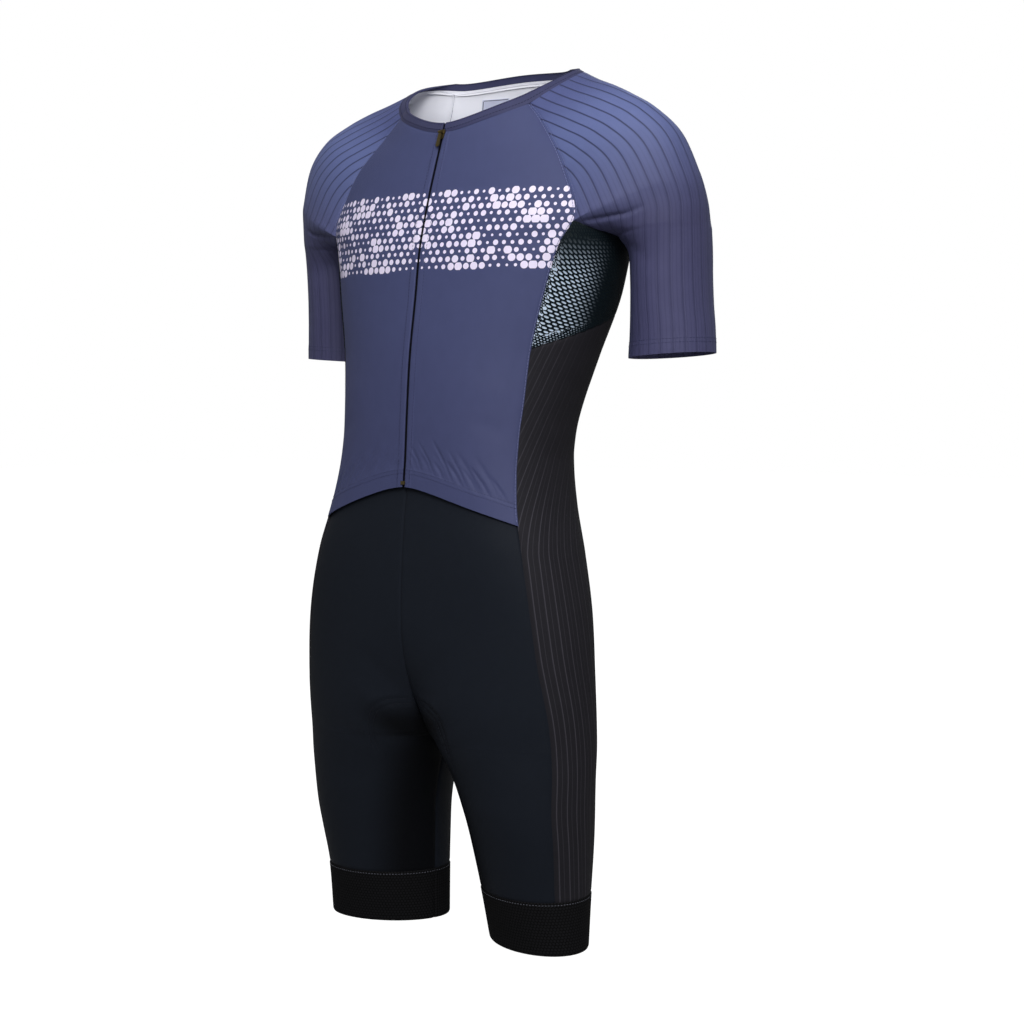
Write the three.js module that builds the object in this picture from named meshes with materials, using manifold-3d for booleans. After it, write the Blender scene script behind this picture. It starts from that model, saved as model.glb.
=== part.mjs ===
// Short-sleeved triathlon suit, filled out as worn, with no wearer in it.
// Millimetres, +Z up, +X to the wearer's left, and the front faces -Y.
// The origin lies midway between the two points where the collar crosses the shoulders.
import * as THREE from 'three'
import { mergeVertices } from 'three/addons/utils/BufferGeometryUtils.js'
import Module from 'manifold-3d'

const CLOTH = 1.4            // wall of the knit panels
const SEAM_GAP = 0.3         // space between two pieces along a seam
const COLLAR_HEIGHT = 11
const ZIP_GAP = 2.2          // half the slot between the two fronts
const ZIP_TAPE_HALF = 12
const COIL_HALF = 1.7
const HEM_LIFT = 0.8         // how far the free front hem stands off the body
const TUCK_CENTRE = 3.8      // how deep the shorts lie under that hem, at the zip and at the side
const TUCK_SIDE = 1.8
const FORK_TOP = -560        // the shorts start to part into two legs here
const CROTCH = -688
const THIGH_FULL = -800      // below this the outer thigh follows the leg's sections alone
const BAND_TOP = -841
const LEG_END = -895
const WAIST_SEAM = -468

// Level sections of the body. mid is the section's centre along Y, wide its half width,
// front and back its depths from mid. boxy is the power of the curve: 2 is an ellipse.
const TORSO = [
  { z: 20, mid: -4, wide: 86, front: 52, back: 58, boxyFront: 2, boxyBack: 2.2 },
  { z: 2, mid: -5, wide: 100, front: 60, back: 62, boxyFront: 2, boxyBack: 2.2 },
  { z: -31, mid: -8, wide: 104, front: 67, back: 70, boxyFront: 2, boxyBack: 2.3 },
  { z: -57, mid: -10, wide: 127, front: 74, back: 75, boxyFront: 2, boxyBack: 2.3 },
  { z: -95, mid: -14, wide: 166, front: 83, back: 84, boxyFront: 2.1, boxyBack: 2.4 },
  { z: -127, mid: -17, wide: 176, front: 91, back: 92, boxyFront: 2.2, boxyBack: 2.6 },
  { z: -159, mid: -20, wide: 178, front: 98, back: 98, boxyFront: 2.4, boxyBack: 2.7 },
  { z: -190, mid: -23, wide: 171, front: 103, back: 102, boxyFront: 2.3, boxyBack: 2.5 },
  { z: -240, mid: -30, wide: 162, front: 103, back: 104, boxyFront: 2.2, boxyBack: 2.4 },
  { z: -300, mid: -43, wide: 147, front: 99, back: 101, boxyFront: 2.1, boxyBack: 2.2 },
  { z: -364, mid: -57, wide: 132, front: 90, back: 94, boxyFront: 2.4, boxyBack: 2.2 },
  { z: -403, mid: -62, wide: 130, front: 87, back: 92, boxyFront: 2.6, boxyBack: 2.2 },
  { z: -450, mid: -67, wide: 137, front: 85, back: 95, boxyFront: 2.8, boxyBack: 2.2 },
  { z: -500, mid: -74, wide: 152, front: 81, back: 98, boxyFront: 2.9, boxyBack: 2.2 },
  { z: -560, mid: -80, wide: 166, front: 77, back: 98, boxyFront: 2.6, boxyBack: 2.2 },
  { z: -620, mid: -82, wide: 171, front: 74, back: 94, boxyFront: 2.4, boxyBack: 2.2 },
  { z: -690, mid: -79, wide: 172, front: 71, back: 86, boxyFront: 2.3, boxyBack: 2.2 },
  { z: -770, mid: -70, wide: 168, front: 61, back: 70, boxyFront: 2.2, boxyBack: 2.2 }
]

// Level sections of one leg: centre, half sizes, and the turn of the long one.
// A turn of 0 puts the long one across the body; below 0 it leans to the front of the outer side.
const LEG = [
  { z: -560, x: 86, y: -78, long: 86, short: 90, turn: 0 },
  { z: -640, x: 86, y: -78, long: 86, short: 84, turn: 0 },
  { z: -688, x: 86, y: -75, long: 86, short: 75, turn: 0 },
  { z: -720, x: 92, y: -72, long: 80, short: 69, turn: -15 },
  { z: -764, x: 96, y: -67, long: 73.5, short: 64, turn: -25 },
  { z: -800, x: 96.5, y: -62, long: 69.5, short: 59, turn: -25 },
  { z: -841, x: 96.5, y: -57, long: 65.5, short: 53, turn: -25 },
  { z: -895, x: 97.5, y: -53, long: 63.5, short: 45, turn: -25 }
]

// Where the long seams run: degrees round the section, 0 at the centre front, 180 at the back.
const FRONT_SEAM = [
  { z: -38, turn: 62.5 },
  { z: -57, turn: 66 },
  { z: -95, turn: 68 },
  { z: -159, turn: 70.5 },
  { z: -190, turn: 66.5 },
  { z: -240, turn: 64 },
  { z: -293, turn: 64 },
  { z: -361, turn: 66 },
  { z: -447, turn: 65 },
  { z: -496, turn: 67 },
  { z: -589, turn: 72 },
  { z: -685, turn: 76 },
  { z: -764, turn: 72 },
  { z: -895, turn: 71 }
]
const BACK_SEAM = [
  { z: -4, turn: 118 },
  { z: -60, turn: 117 },
  { z: -159, turn: 115 },
  { z: -238, turn: 128 },
  { z: -360, turn: 131 },
  { z: -468, turn: 131 },
  { z: -600, turn: 129 },
  { z: -688, turn: 124 },
  { z: -895, turn: 120 }
]

// Rows of the raglan sleeve along its two seams: the height of each seam end, the point on
// top of the shoulder, and how far the section turns each side of that point.
const RAGLAN = [
  { front: -38, back: -4, x: 110, y: 0, z: -4, open: 66 },
  { front: -50, back: -20, x: 135, y: -5, z: -14, open: 68 },
  { front: -64, back: -38, x: 160, y: -10, z: -23, open: 70 },
  { front: -80, back: -60, x: 184, y: -14, z: -34, open: 73 },
  { front: -100, back: -86, x: 212, y: -16, z: -50, open: 77 },
  { front: -127, back: -120, x: 239, y: -11, z: -77, open: 82 },
  { front: -166, back: -159, x: 254, y: -2, z: -118, open: 90 }
]
// Rows under the arm, where the section closes: the two seam ends by turn round the body and height.
const UNDERARM = [
  { front: 78.5, low: -174, back: 110.5, backLow: -166, x: 257, y: 5, z: -143.5, open: 120 },
  { front: 87.5, low: -178, back: 104.5, backLow: -173, x: 257, y: 7, z: -165, open: 150 },
  { front: 97, low: -181.5, back: 97, backLow: -181.5, x: 257, y: 8, z: -173.6, deep: 51 }
]
// Rows of the sleeve's tube: its inner and outer points, level with each other, and half depth.
const TUBE = [
  { inner: 177, low: -195.5, x: 257, y: 9, z: -195, deep: 49.5 },
  { inner: 178, low: -222, x: 257, y: 10, z: -220, deep: 48 },
  { inner: 177, low: -250, x: 258, y: 11, z: -247, deep: 47 },
  { inner: 175, low: -276, x: 260, y: 12, z: -272, deep: 46 },
  { inner: 173, low: -302, x: 261, y: 12, z: -296, deep: 45 }
]

// Heights of the rows that neighbouring pieces share, along the front and the back seam.
const MESH_ROWS = 5
const SIDE_ROWS = 6
const MESH_LOW = { front: -293, back: -238 }
const FORK_ROWS = 6
const LEG_LEVELS = [-703, -727, -756, -785, -813, BAND_TOP]
const FRONT_COLUMNS = 8
const SIDE_COLUMNS = 6
const SLEEVE_COLUMNS = 16
const SQUARING_FROM = 5
const SLEEVE_CLOSES = RAGLAN.length + UNDERARM.length - 1

const rad = Math.PI / 180
const mix = THREE.MathUtils.lerp
const clamp = THREE.MathUtils.clamp
const point = (x, y, z) => new THREE.Vector3(x, y, z)
const steps = (from, to, count) => Array.from({ length: count }, (_, i) => mix(from, to, (i + 1) / count))
const range = count => Array.from({ length: count + 1 }, (_, i) => i)

// A smooth curve through one column of a table whose rows go down in z.
function smooth (table, column, z) {
  const last = table.length - 1
  if (z >= table[0].z) return table[0][column]
  if (z <= table[last].z) return table[last][column]
  const slope = i => {
    const a = table[Math.max(i - 1, 0)]
    const b = table[Math.min(i + 1, last)]
    return (b[column] - a[column]) / (b.z - a.z)
  }
  const i = table.findIndex(row => row.z < z) - 1
  const span = table[i + 1].z - table[i].z
  const t = (z - table[i].z) / span
  const bend = t * t * (3 - 2 * t)
  return table[i][column] * (1 - bend) + table[i + 1][column] * bend +
    span * t * (1 - t) * (slope(i) * (1 - t) - slope(i + 1) * t)
}

// One point of the body's section at height z.
function torso (turn, z) {
  const facing = Math.cos(turn * rad) > 0 ? 'Front' : 'Back'
  const depth = smooth(TORSO, facing.toLowerCase(), z)
  const boxy = smooth(TORSO, 'boxy' + facing, z)
  const across = Math.sin(turn * rad)
  const along = Math.cos(turn * rad)
  const sum = Math.abs(across / smooth(TORSO, 'wide', z)) ** boxy + Math.abs(along / depth) ** boxy
  const reach = sum ** (-1 / boxy)
  return point(reach * across, smooth(TORSO, 'mid', z) - reach * along, z)
}

// One point of the left leg's section. turn 0 and 180 both lie on the inseam.
function leg (turn, z) {
  const round = 2 * turn * rad
  const tilt = smooth(LEG, 'turn', z) * rad
  const cosine = Math.cos(round - tilt) / smooth(LEG, 'long', z)
  const sine = Math.sin(round - tilt) / smooth(LEG, 'short', z)
  const reach = 1 / Math.hypot(cosine, sine)
  return point(smooth(LEG, 'x', z) - reach * Math.cos(round), smooth(LEG, 'y', z) - reach * Math.sin(round), z)
}

// The suit's outer surface: the body's section, which parts into the leg's. At the centre it
// does so in a round fork, and on the outer thigh over a longer, softer stretch.
function skin (turn, z) {
  const drop = clamp((FORK_TOP - z) / (FORK_TOP - CROTCH), 0, 1)
  const fork = 1 - Math.sqrt(1 - drop * drop)
  const soft = THREE.MathUtils.smoothstep(FORK_TOP - z, 0, FORK_TOP - THIGH_FULL)
  const parted = mix(fork, soft, Math.sin(turn * rad))
  if (parted === 0) return torso(turn, z)
  const place = torso(turn, z).lerp(leg(turn, z), parted)
  if (z >= CROTCH && turn % 180 === 0) place.x = 0
  return place
}

const frontTurn = z => smooth(FRONT_SEAM, 'turn', z)
const backTurn = z => smooth(BACK_SEAM, 'turn', z)
const zipTurn = z => Math.atan(ZIP_GAP / smooth(TORSO, 'front', z)) / rad

const forkLevels = range(FORK_ROWS).slice(1)
  .map(i => FORK_TOP - (FORK_TOP - CROTCH) * Math.sin(i / FORK_ROWS * 90 * rad))
const SHORTS_LEVELS = [-497, -528, FORK_TOP, ...forkLevels, ...LEG_LEVELS]
const raglanFront = RAGLAN.map(row => row.front)
const raglanBack = RAGLAN.map(row => row.back)
const meshFront = [raglanFront.at(-1), ...steps(raglanFront.at(-1), MESH_LOW.front, MESH_ROWS)]
const meshBack = [raglanBack.at(-1), ...steps(raglanBack.at(-1), MESH_LOW.back, MESH_ROWS)]
const sideFront = [MESH_LOW.front, ...steps(MESH_LOW.front, WAIST_SEAM, SIDE_ROWS)]
const sideBack = [MESH_LOW.back, ...steps(MESH_LOW.back, WAIST_SEAM, SIDE_ROWS)]
const frontLevels = [...raglanFront, ...meshFront.slice(1), ...sideFront.slice(1)]
const backLevels = [...raglanBack, ...meshBack.slice(1), ...sideBack.slice(1)]

const NECK_FRONT = -66
const NECK_BACK = 2
const HEM_CENTRE = -432
const remap = (z, from, to, low, high) => mix(low, high, (z - from) / (to - from))
const frontCentre = z => remap(z, frontLevels[0], WAIST_SEAM, NECK_FRONT, HEM_CENTRE)
const backCentre = z => remap(z, backLevels[0], WAIST_SEAM, NECK_BACK, WAIST_SEAM)

// The front's rows sag or rise from the zip to the side seam, as its neckline and hem do.
const ROW_BEND = 1.6
function frontPoint (from, level, centre, u) {
  const z = mix(centre, level, u ** ROW_BEND)
  return skin(mix(from(z), frontTurn(level), u), z)
}

function frontGrid () {
  return frontLevels.map(level => range(FRONT_COLUMNS).map(j =>
    frontPoint(zipTurn, level, frontCentre(level), j / FRONT_COLUMNS)))
}

function backGrid () {
  return backLevels.map(level => range(2 * FRONT_COLUMNS).map(j => {
    const u = j / FRONT_COLUMNS - 1
    const turn = 180 + u * (180 - backTurn(level))
    return skin(turn, mix(backCentre(level), level, u * u))
  }))
}

// The armhole's lowest stretch, from the front seam under the arm to the back seam.
const armholeFront = UNDERARM.map(row => ({ turn: row.front, z: row.low }))
const armholeBack = UNDERARM.slice(0, -1).reverse().map(row => ({ turn: row.back, z: row.backLow }))
const armhole = [
  { turn: frontTurn(meshFront[0]), z: meshFront[0] }, ...armholeFront, ...armholeBack,
  { turn: backTurn(meshBack[0]), z: meshBack[0] }
]

function meshGrid () {
  const first = armhole[0]
  const last = armhole.at(-1)
  return range(MESH_ROWS).map(i => armhole.map((top, j) => {
    const down = i / MESH_ROWS
    const topShare = (top.turn - first.turn) / (last.turn - first.turn)
    const share = mix(topShare, j / SIDE_COLUMNS, down)
    const dip = (top.z - mix(first.z, last.z, topShare)) * (1 - down)
    const turn = mix(frontTurn(meshFront[i]), backTurn(meshBack[i]), share)
    return skin(turn, mix(meshFront[i], meshBack[i], share) + dip)
  }))
}

function sideGrid () {
  const front = [...sideFront, ...SHORTS_LEVELS]
  const back = [...sideBack, ...SHORTS_LEVELS]
  return front.map((level, i) => range(SIDE_COLUMNS).map(j => {
    const share = j / SIDE_COLUMNS
    return skin(mix(frontTurn(level), backTurn(back[i]), share), mix(level, back[i], share))
  }))
}

// The shorts' front starts a row above the jersey's hem, tucked under it.
const tuckedLevels = [...sideFront.slice(-2), ...SHORTS_LEVELS]
const tuckedCentre = [...sideFront.slice(-2).map(frontCentre), -464, -506, -549, ...SHORTS_LEVELS.slice(3)]
function shortsFrontGrid () {
  return tuckedLevels.map((level, i) => range(FRONT_COLUMNS).map(j =>
    frontPoint(() => 0, level, tuckedCentre[i], j / FRONT_COLUMNS)))
}

function shortsBackGrid () {
  return [WAIST_SEAM, ...SHORTS_LEVELS].map(level => range(FRONT_COLUMNS).map(j =>
    skin(mix(backTurn(level), 180, j / FRONT_COLUMNS), level)))
}

function bandGrid () {
  return [BAND_TOP, mix(BAND_TOP, LEG_END, 0.5), LEG_END].map(level => {
    const front = range(FRONT_COLUMNS).slice(1).map(j => frontTurn(level) * j / FRONT_COLUMNS)
    const side = steps(frontTurn(level), backTurn(level), SIDE_COLUMNS)
    return [0, ...front, ...side, ...steps(backTurn(level), 180, FRONT_COLUMNS)].map(turn => skin(turn, level))
  })
}

// One sleeve row: an arc of an ellipse from the front seam over the shoulder to the back seam. Its depth
// turns from along the chord to straight back as it nears the tube, and its ends stay on the seams.
function sleeveRow (row, front, back, top, open, deep) {
  const chord = front.clone().lerp(back, 0.5)
  const rise = top.clone().sub(chord).divideScalar(1 - Math.cos(open * rad))
  const middle = top.clone().sub(rise)
  const half = deep ?? front.distanceTo(back) / (2 * Math.sin(open * rad))
  const straight = deep ? 1 : THREE.MathUtils.smoothstep(row, SQUARING_FROM, SLEEVE_CLOSES)
  const way = back.clone().sub(front).normalize().lerp(point(0, 1, 0), straight).setLength(half)
  const onArc = angle => middle.clone().addScaledVector(rise, Math.cos(angle)).addScaledVector(way, Math.sin(angle))
  return range(SLEEVE_COLUMNS).map(j => {
    const side = mix(-1, 1, j / SLEEVE_COLUMNS)
    const end = side < 0 ? front : back
    const off = end.clone().sub(onArc(Math.sign(side) * open * rad))
    return onArc(side * open * rad).addScaledVector(off, side ** 4)
  })
}

function sleeveGrid () {
  const raglan = RAGLAN.map((row, i) => sleeveRow(
    i, skin(frontTurn(row.front), row.front), skin(backTurn(row.back), row.back),
    point(row.x, row.y, row.z), row.open))
  const underarm = UNDERARM.map((row, i) => sleeveRow(
    RAGLAN.length + i, skin(row.front, row.low), skin(row.back, row.backLow),
    point(row.x, row.y, row.z), row.open ?? 180, row.deep))
  const tube = TUBE.map(row => {
    const inner = point(row.inner, row.y, row.low)
    return sleeveRow(SLEEVE_CLOSES, inner, inner, point(row.x, row.y, row.z), 180, row.deep)
  })
  return [...raglan, ...underarm, ...tube]
}

const mirrored = grid => grid.map(row => row.map(p => point(-p.x, p.y, p.z)).reverse())

// The collar stands on the neckline and runs on up each panel's own slope.
function collarGrid (front, sleeve, back) {
  const parts = [front, sleeve, back, mirrored(sleeve), mirrored(front)]
  const columns = parts.flatMap((grid, k) => grid[0].map((low, j) => ({ low, next: grid[1][j] })).slice(k ? 1 : 0))
  const top = columns.map(({ low, next }) =>
    low.clone().add(low.clone().sub(next).setLength(COLLAR_HEIGHT)))
  return [top, columns.map(column => column.low)]
}

// Directions out of a grid's surface, worked out from each point's neighbours.
function outward (grid) {
  const rows = grid.length - 1
  const columns = grid[0].length - 1
  return grid.map((row, i) => row.map((_, j) => {
    const down = grid[Math.min(i + 1, rows)][j].clone().sub(grid[Math.max(i - 1, 0)][j])
    const along = row[Math.min(j + 1, columns)].clone().sub(row[Math.max(j - 1, 0)])
    return down.cross(along).normalize()
  }))
}

// Pieces that meet at a point share one direction there, so that their walls meet in a mitre.
const shared = new Map()
const keyOf = p => [p.x, p.y, p.z].map(v => Math.round(v * 100)).join()
function recordDirections (name, grid) {
  const normals = outward(grid)
  grid.forEach((row, i) => row.forEach((p, j) => {
    const owners = shared.get(keyOf(p)) ?? new Map()
    const sum = owners.get(name) ?? point(0, 0, 0)
    owners.set(name, sum.add(normals[i][j]))
    shared.set(keyOf(p), owners)
  }))
}
function directionAt (p) {
  const sum = point(0, 0, 0)
  shared.get(keyOf(p)).forEach(own => sum.add(own.clone().normalize()))
  return sum.normalize()
}

// Every edge is drawn in by half the seam gap, square to the edge and in the cloth's plane.
function drawnIn (grid) {
  const rows = grid.length - 1
  const columns = grid[0].length - 1
  const pull = (p, inner, before, after) => {
    const edge = after.clone().sub(before).normalize()
    const into = inner.clone().sub(p)
    return into.addScaledVector(edge, -into.dot(edge)).setLength(SEAM_GAP / 2)
  }
  return grid.map((row, i) => row.map((p, j) => {
    const moved = p.clone()
    const up = grid[Math.max(i - 1, 0)][j]
    const down = grid[Math.min(i + 1, rows)][j]
    const left = row[Math.max(j - 1, 0)]
    const right = row[Math.min(j + 1, columns)]
    if (i === 0) moved.add(pull(p, down, left, right))
    if (i === rows) moved.add(pull(p, up, left, right))
    if (j === 0) moved.add(pull(p, right, up, down))
    if (j === columns) moved.add(pull(p, left, up, down))
    return moved
  }))
}

// A closed wall on a grid: an outer face, an inner face and four edges.
function wall (grid, outerLift = () => 0, thick = () => CLOTH) {
  const rows = grid.length - 1
  const columns = grid[0].length - 1
  const edge = drawnIn(grid)
  const positions = []
  for (const inside of [false, true]) {
    edge.forEach((row, i) => row.forEach((p, j) => {
      const lift = outerLift(i, j) - (inside ? thick(i, j) : 0)
      const place = p.clone().addScaledVector(directionAt(grid[i][j]), lift)
      positions.push(place.x, place.y, place.z)
    }))
  }
  const count = (rows + 1) * (columns + 1)
  const at = (i, j, inside) => i * (columns + 1) + j + (inside ? count : 0)
  const index = []
  const quad = (a, b, c, d) => index.push(a, b, c, a, c, d)
  for (let i = 0; i < rows; i++) {
    for (let j = 0; j < columns; j++) {
      quad(at(i, j), at(i + 1, j), at(i + 1, j + 1), at(i, j + 1))
      quad(at(i, j, true), at(i, j + 1, true), at(i + 1, j + 1, true), at(i + 1, j, true))
    }
    quad(at(i, 0), at(i, 0, true), at(i + 1, 0, true), at(i + 1, 0))
    quad(at(i, columns), at(i + 1, columns), at(i + 1, columns, true), at(i, columns, true))
  }
  for (let j = 0; j < columns; j++) {
    quad(at(0, j), at(0, j + 1), at(0, j + 1, true), at(0, j, true))
    quad(at(rows, j), at(rows, j, true), at(rows, j + 1, true), at(rows, j + 1))
  }
  const geometry = new THREE.BufferGeometry()
  geometry.setAttribute('position', new THREE.Float32BufferAttribute(positions, 3))
  geometry.setIndex(index)
  geometry.computeVertexNormals()
  return geometry
}

const finish = (color, roughness, metalness = 0) => new THREE.MeshStandardMaterial({ color, roughness, metalness })
const FINISHES = {
  front: finish(0x4e547d, 0.6),
  sleeve: finish(0x5a6192, 0.55),
  collar: finish(0x2c3150, 0.6),
  mesh: finish(0x33474e, 0.7),
  side: finish(0x222126, 0.7),
  shorts: finish(0x141820, 0.6),
  band: finish(0x0d0d0d, 0.6),
  label: finish(0xd9d9e6, 0.7),
  tape: finish(0x101014, 0.6),
  slider: finish(0x8a7a4a, 0.35, 0.9)
}

const suit = new THREE.Group()
function add (name, geometry, material, parent = suit) {
  const mesh = new THREE.Mesh(geometry, material)
  mesh.name = name
  parent.add(mesh)
  return mesh
}

const front = frontGrid()
const back = backGrid()
const sleeve = sleeveGrid()
const frontRows = front.length - 1
const hemLift = i => HEM_LIFT * clamp((i - frontRows + 2) / 2, 0, 1)
const tuck = (i, j) => -mix(TUCK_CENTRE, TUCK_SIDE, j / FRONT_COLUMNS) * [1, 1, 0.35][i]
const tuckLift = (i, j) => i < 3 ? tuck(i, j) : 0

const PANELS = [
  { name: 'front', grid: front, finish: FINISHES.front, lift: hemLift },
  { name: 'sleeve', grid: sleeve, finish: FINISHES.sleeve },
  { name: 'mesh', grid: meshGrid(), finish: FINISHES.mesh },
  { name: 'side', grid: sideGrid(), finish: FINISHES.side },
  { name: 'shorts_front', grid: shortsFrontGrid(), finish: FINISHES.shorts, lift: tuckLift },
  { name: 'shorts_back', grid: shortsBackGrid(), finish: FINISHES.shorts },
  { name: 'leg_band', grid: bandGrid(), finish: FINISHES.band }
]
const pieces = PANELS.flatMap(panel => {
  const columns = panel.grid[0].length - 1
  const lift = panel.lift ?? (() => 0)
  return [
    { ...panel, name: panel.name + '_left', lift },
    {
      ...panel,
      name: panel.name + '_right',
      grid: mirrored(panel.grid),
      lift: (i, j) => lift(i, columns - j)
    }
  ]
})
pieces.push({ name: 'back', grid: back, finish: FINISHES.front, lift: () => 0 })
pieces.push({ name: 'collar', grid: collarGrid(front, sleeve, back), finish: FINISHES.collar, lift: () => 0 })
pieces.forEach(piece => recordDirections(piece.name, piece.grid))
pieces.forEach(piece => add(piece.name, wall(piece.grid, piece.lift), piece.finish))

// The closed zip: a tape behind both fronts, with the coil as a ridge that fills the slot.
const TAPE_DEPTH = -2.2
const COIL_TOP = -0.3
const TAPE_THICK = 1
const COIL_FOOT = 0.25
const TAPE_COLUMNS = [
  { x: -ZIP_TAPE_HALF, top: TAPE_DEPTH }, { x: -COIL_HALF - COIL_FOOT, top: TAPE_DEPTH },
  { x: -COIL_HALF, top: COIL_TOP }, { x: COIL_HALF, top: COIL_TOP },
  { x: COIL_HALF + COIL_FOOT, top: TAPE_DEPTH }, { x: ZIP_TAPE_HALF, top: TAPE_DEPTH }
]
const tapeLevels = [-58, ...frontLevels.map(frontCentre)]
const tapeGrid = tapeLevels.map(z => TAPE_COLUMNS.map(({ x }) => {
  const turn = Math.atan(x / smooth(TORSO, 'front', z)) / rad
  return torso(turn, z)
}))
recordDirections('zip_tape', tapeGrid)
add('zip_tape', wall(tapeGrid, (i, j) => TAPE_COLUMNS[j].top,
  (i, j) => TAPE_COLUMNS[j].top - TAPE_DEPTH + TAPE_THICK), FINISHES.tape)

// The blank label, inside the back of the neck on the wearer's right.
const LABEL = { from: -68, to: -30, top: -10, low: -29, lift: -2.2, thick: 1 }
const labelTurn = x => 180 - Math.asin(x / smooth(TORSO, 'wide', LABEL.top)) / rad
const labelGrid = range(2).map(i => range(4).map(j =>
  torso(labelTurn(mix(LABEL.to, LABEL.from, j / 4)), mix(LABEL.top, LABEL.low, i / 2))))
recordDirections('neck_label', labelGrid)
add('neck_label', wall(labelGrid, () => LABEL.lift, () => LABEL.thick), FINISHES.label)

// Solids that are joined from simple closed shapes.
const wasm = await Module()
wasm.setup()
function solidOf (geometry) {
  const bare = geometry.clone()
  bare.deleteAttribute('normal')
  bare.deleteAttribute('uv')
  const merged = mergeVertices(bare, 1e-4)
  return new wasm.Manifold(new wasm.Mesh({
    numProp: 3,
    vertProperties: new Float32Array(merged.attributes.position.array),
    triVerts: new Uint32Array(merged.index.array)
  }))
}
function joined (geometries) {
  const whole = geometries.map(solidOf).reduce((sum, solid) => sum.add(solid)).getMesh()
  const geometry = new THREE.BufferGeometry()
  geometry.setAttribute('position', new THREE.BufferAttribute(whole.vertProperties, 3))
  geometry.setIndex(new THREE.BufferAttribute(whole.triVerts, 1))
  geometry.computeVertexNormals()
  return geometry
}
const block = (x0, x1, y0, y1, z0, z1) => new THREE.BoxGeometry(x1 - x0, y1 - y0, z1 - z0)
  .translate((x0 + x1) / 2, (y0 + y1) / 2, (z0 + z1) / 2)

// The slider's own frame: its face looks to -Y, +Z runs up the zip, and it leans with the chest.
const SLIDER_AT = -69
const SLIDER = { halfTop: 3.9, halfLow: 3.1, up: 5, down: 5.5, under: 0.5, thick: 1.5 }
const BAR = { out: 4.1, up: 1.6, radius: 0.6 }
const EAR = { from: 1.95, to: 2.75, half: 1.1 }
const EYE = { inner: 0.95, outer: 1.65, half: 1.6 }
const TAB = { half: 2.3, neck: 1.4, thick: 1, start: 2.5, length: 17 }
const chest = torso(0, SLIDER_AT)
const NEAR = 8
const lean = Math.atan2(torso(0, SLIDER_AT - NEAR).y - torso(0, SLIDER_AT + NEAR).y, 2 * NEAR)
const zipFrame = new THREE.Group()
zipFrame.position.copy(chest)
zipFrame.rotation.x = lean
suit.add(zipFrame)

function sliderBody () {
  const outline = new THREE.Shape()
  const corner = 1.5
  outline.moveTo(-SLIDER.halfTop + corner, SLIDER.up)
  outline.quadraticCurveTo(-SLIDER.halfTop, SLIDER.up, -SLIDER.halfTop, SLIDER.up - corner)
  outline.lineTo(-SLIDER.halfLow, -SLIDER.down + corner)
  outline.quadraticCurveTo(-SLIDER.halfLow, -SLIDER.down, -SLIDER.halfLow + corner, -SLIDER.down)
  outline.lineTo(SLIDER.halfLow - corner, -SLIDER.down)
  outline.quadraticCurveTo(SLIDER.halfLow, -SLIDER.down, SLIDER.halfLow, -SLIDER.down + corner)
  outline.lineTo(SLIDER.halfTop, SLIDER.up - corner)
  outline.quadraticCurveTo(SLIDER.halfTop, SLIDER.up, SLIDER.halfTop - corner, SLIDER.up)
  const face = new THREE.ExtrudeGeometry(outline, { depth: SLIDER.thick, bevelEnabled: false, curveSegments: 5 })
    .rotateX(Math.PI / 2).translate(0, -SLIDER.under, 0)
  const ears = [-1, 1].map(side => {
    const x0 = side > 0 ? EAR.from : -EAR.to
    return block(x0, x0 + EAR.to - EAR.from, -BAR.out - EAR.half, -SLIDER.under - SLIDER.thick / 2,
      BAR.up - EAR.half, BAR.up + EAR.half)
  })
  const bar = new THREE.CylinderGeometry(BAR.radius, BAR.radius, EAR.from + EAR.to, 12)
    .rotateZ(Math.PI / 2).translate(0, -BAR.out, BAR.up)
  return joined([face, ...ears, bar])
}
function pullTab () {
  const ring = new THREE.LatheGeometry([
    new THREE.Vector2(EYE.inner, -EYE.half), new THREE.Vector2(EYE.outer, -EYE.half),
    new THREE.Vector2(EYE.outer, EYE.half), new THREE.Vector2(EYE.inner, EYE.half),
    new THREE.Vector2(EYE.inner, -EYE.half)
  ], 20).rotateZ(Math.PI / 2)
  const neck = block(-TAB.neck, TAB.neck, -TAB.thick / 2, TAB.thick / 2, -TAB.start - 0.5, -EYE.inner - 0.35)
  const outline = new THREE.Shape()
  outline.moveTo(-TAB.half + 0.5, -TAB.start)
  outline.lineTo(-TAB.half, -TAB.length + TAB.half)
  outline.absarc(0, -TAB.length + TAB.half, TAB.half, Math.PI, 2 * Math.PI, false)
  outline.lineTo(TAB.half - 0.5, -TAB.start)
  const blade = new THREE.ExtrudeGeometry(outline, { depth: TAB.thick, bevelEnabled: false, curveSegments: 8 })
    .rotateX(Math.PI / 2).translate(0, TAB.thick / 2, 0)
  return joined([ring, neck, blade]).translate(0, -BAR.out, BAR.up)
}
add('zip_slider', sliderBody(), FINISHES.slider, zipFrame)
add('zip_pull', pullTab(), FINISHES.slider, zipFrame)

// The stop at the zip's lower end, over the last of the coil.
const STOP = { half: 2.6, high: 3.4, thick: 1.5, off: 0.4, up: 4.5 }
const stopAt = torso(0, HEM_CENTRE + STOP.up)
const stop = add('zip_stop', block(-STOP.half, STOP.half, -STOP.thick, 0, -STOP.high / 2, STOP.high / 2), FINISHES.slider)
stop.position.copy(stopAt).add(point(0, -HEM_LIFT - STOP.off, 0))

export default suit
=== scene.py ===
# %% [markdown]
# A triathlon suit, filled out as worn, with nobody in it. The real one is cut from knitted panels that
# stretch round the body, and sewn with flat seams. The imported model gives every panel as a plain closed
# wall. Here each wall is replaced by a thin shell of cloth on the same form, with its creases, seams,
# stitches, mesh and zip, because those are what the eye reads as a sewn garment.

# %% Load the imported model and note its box
import math

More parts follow.
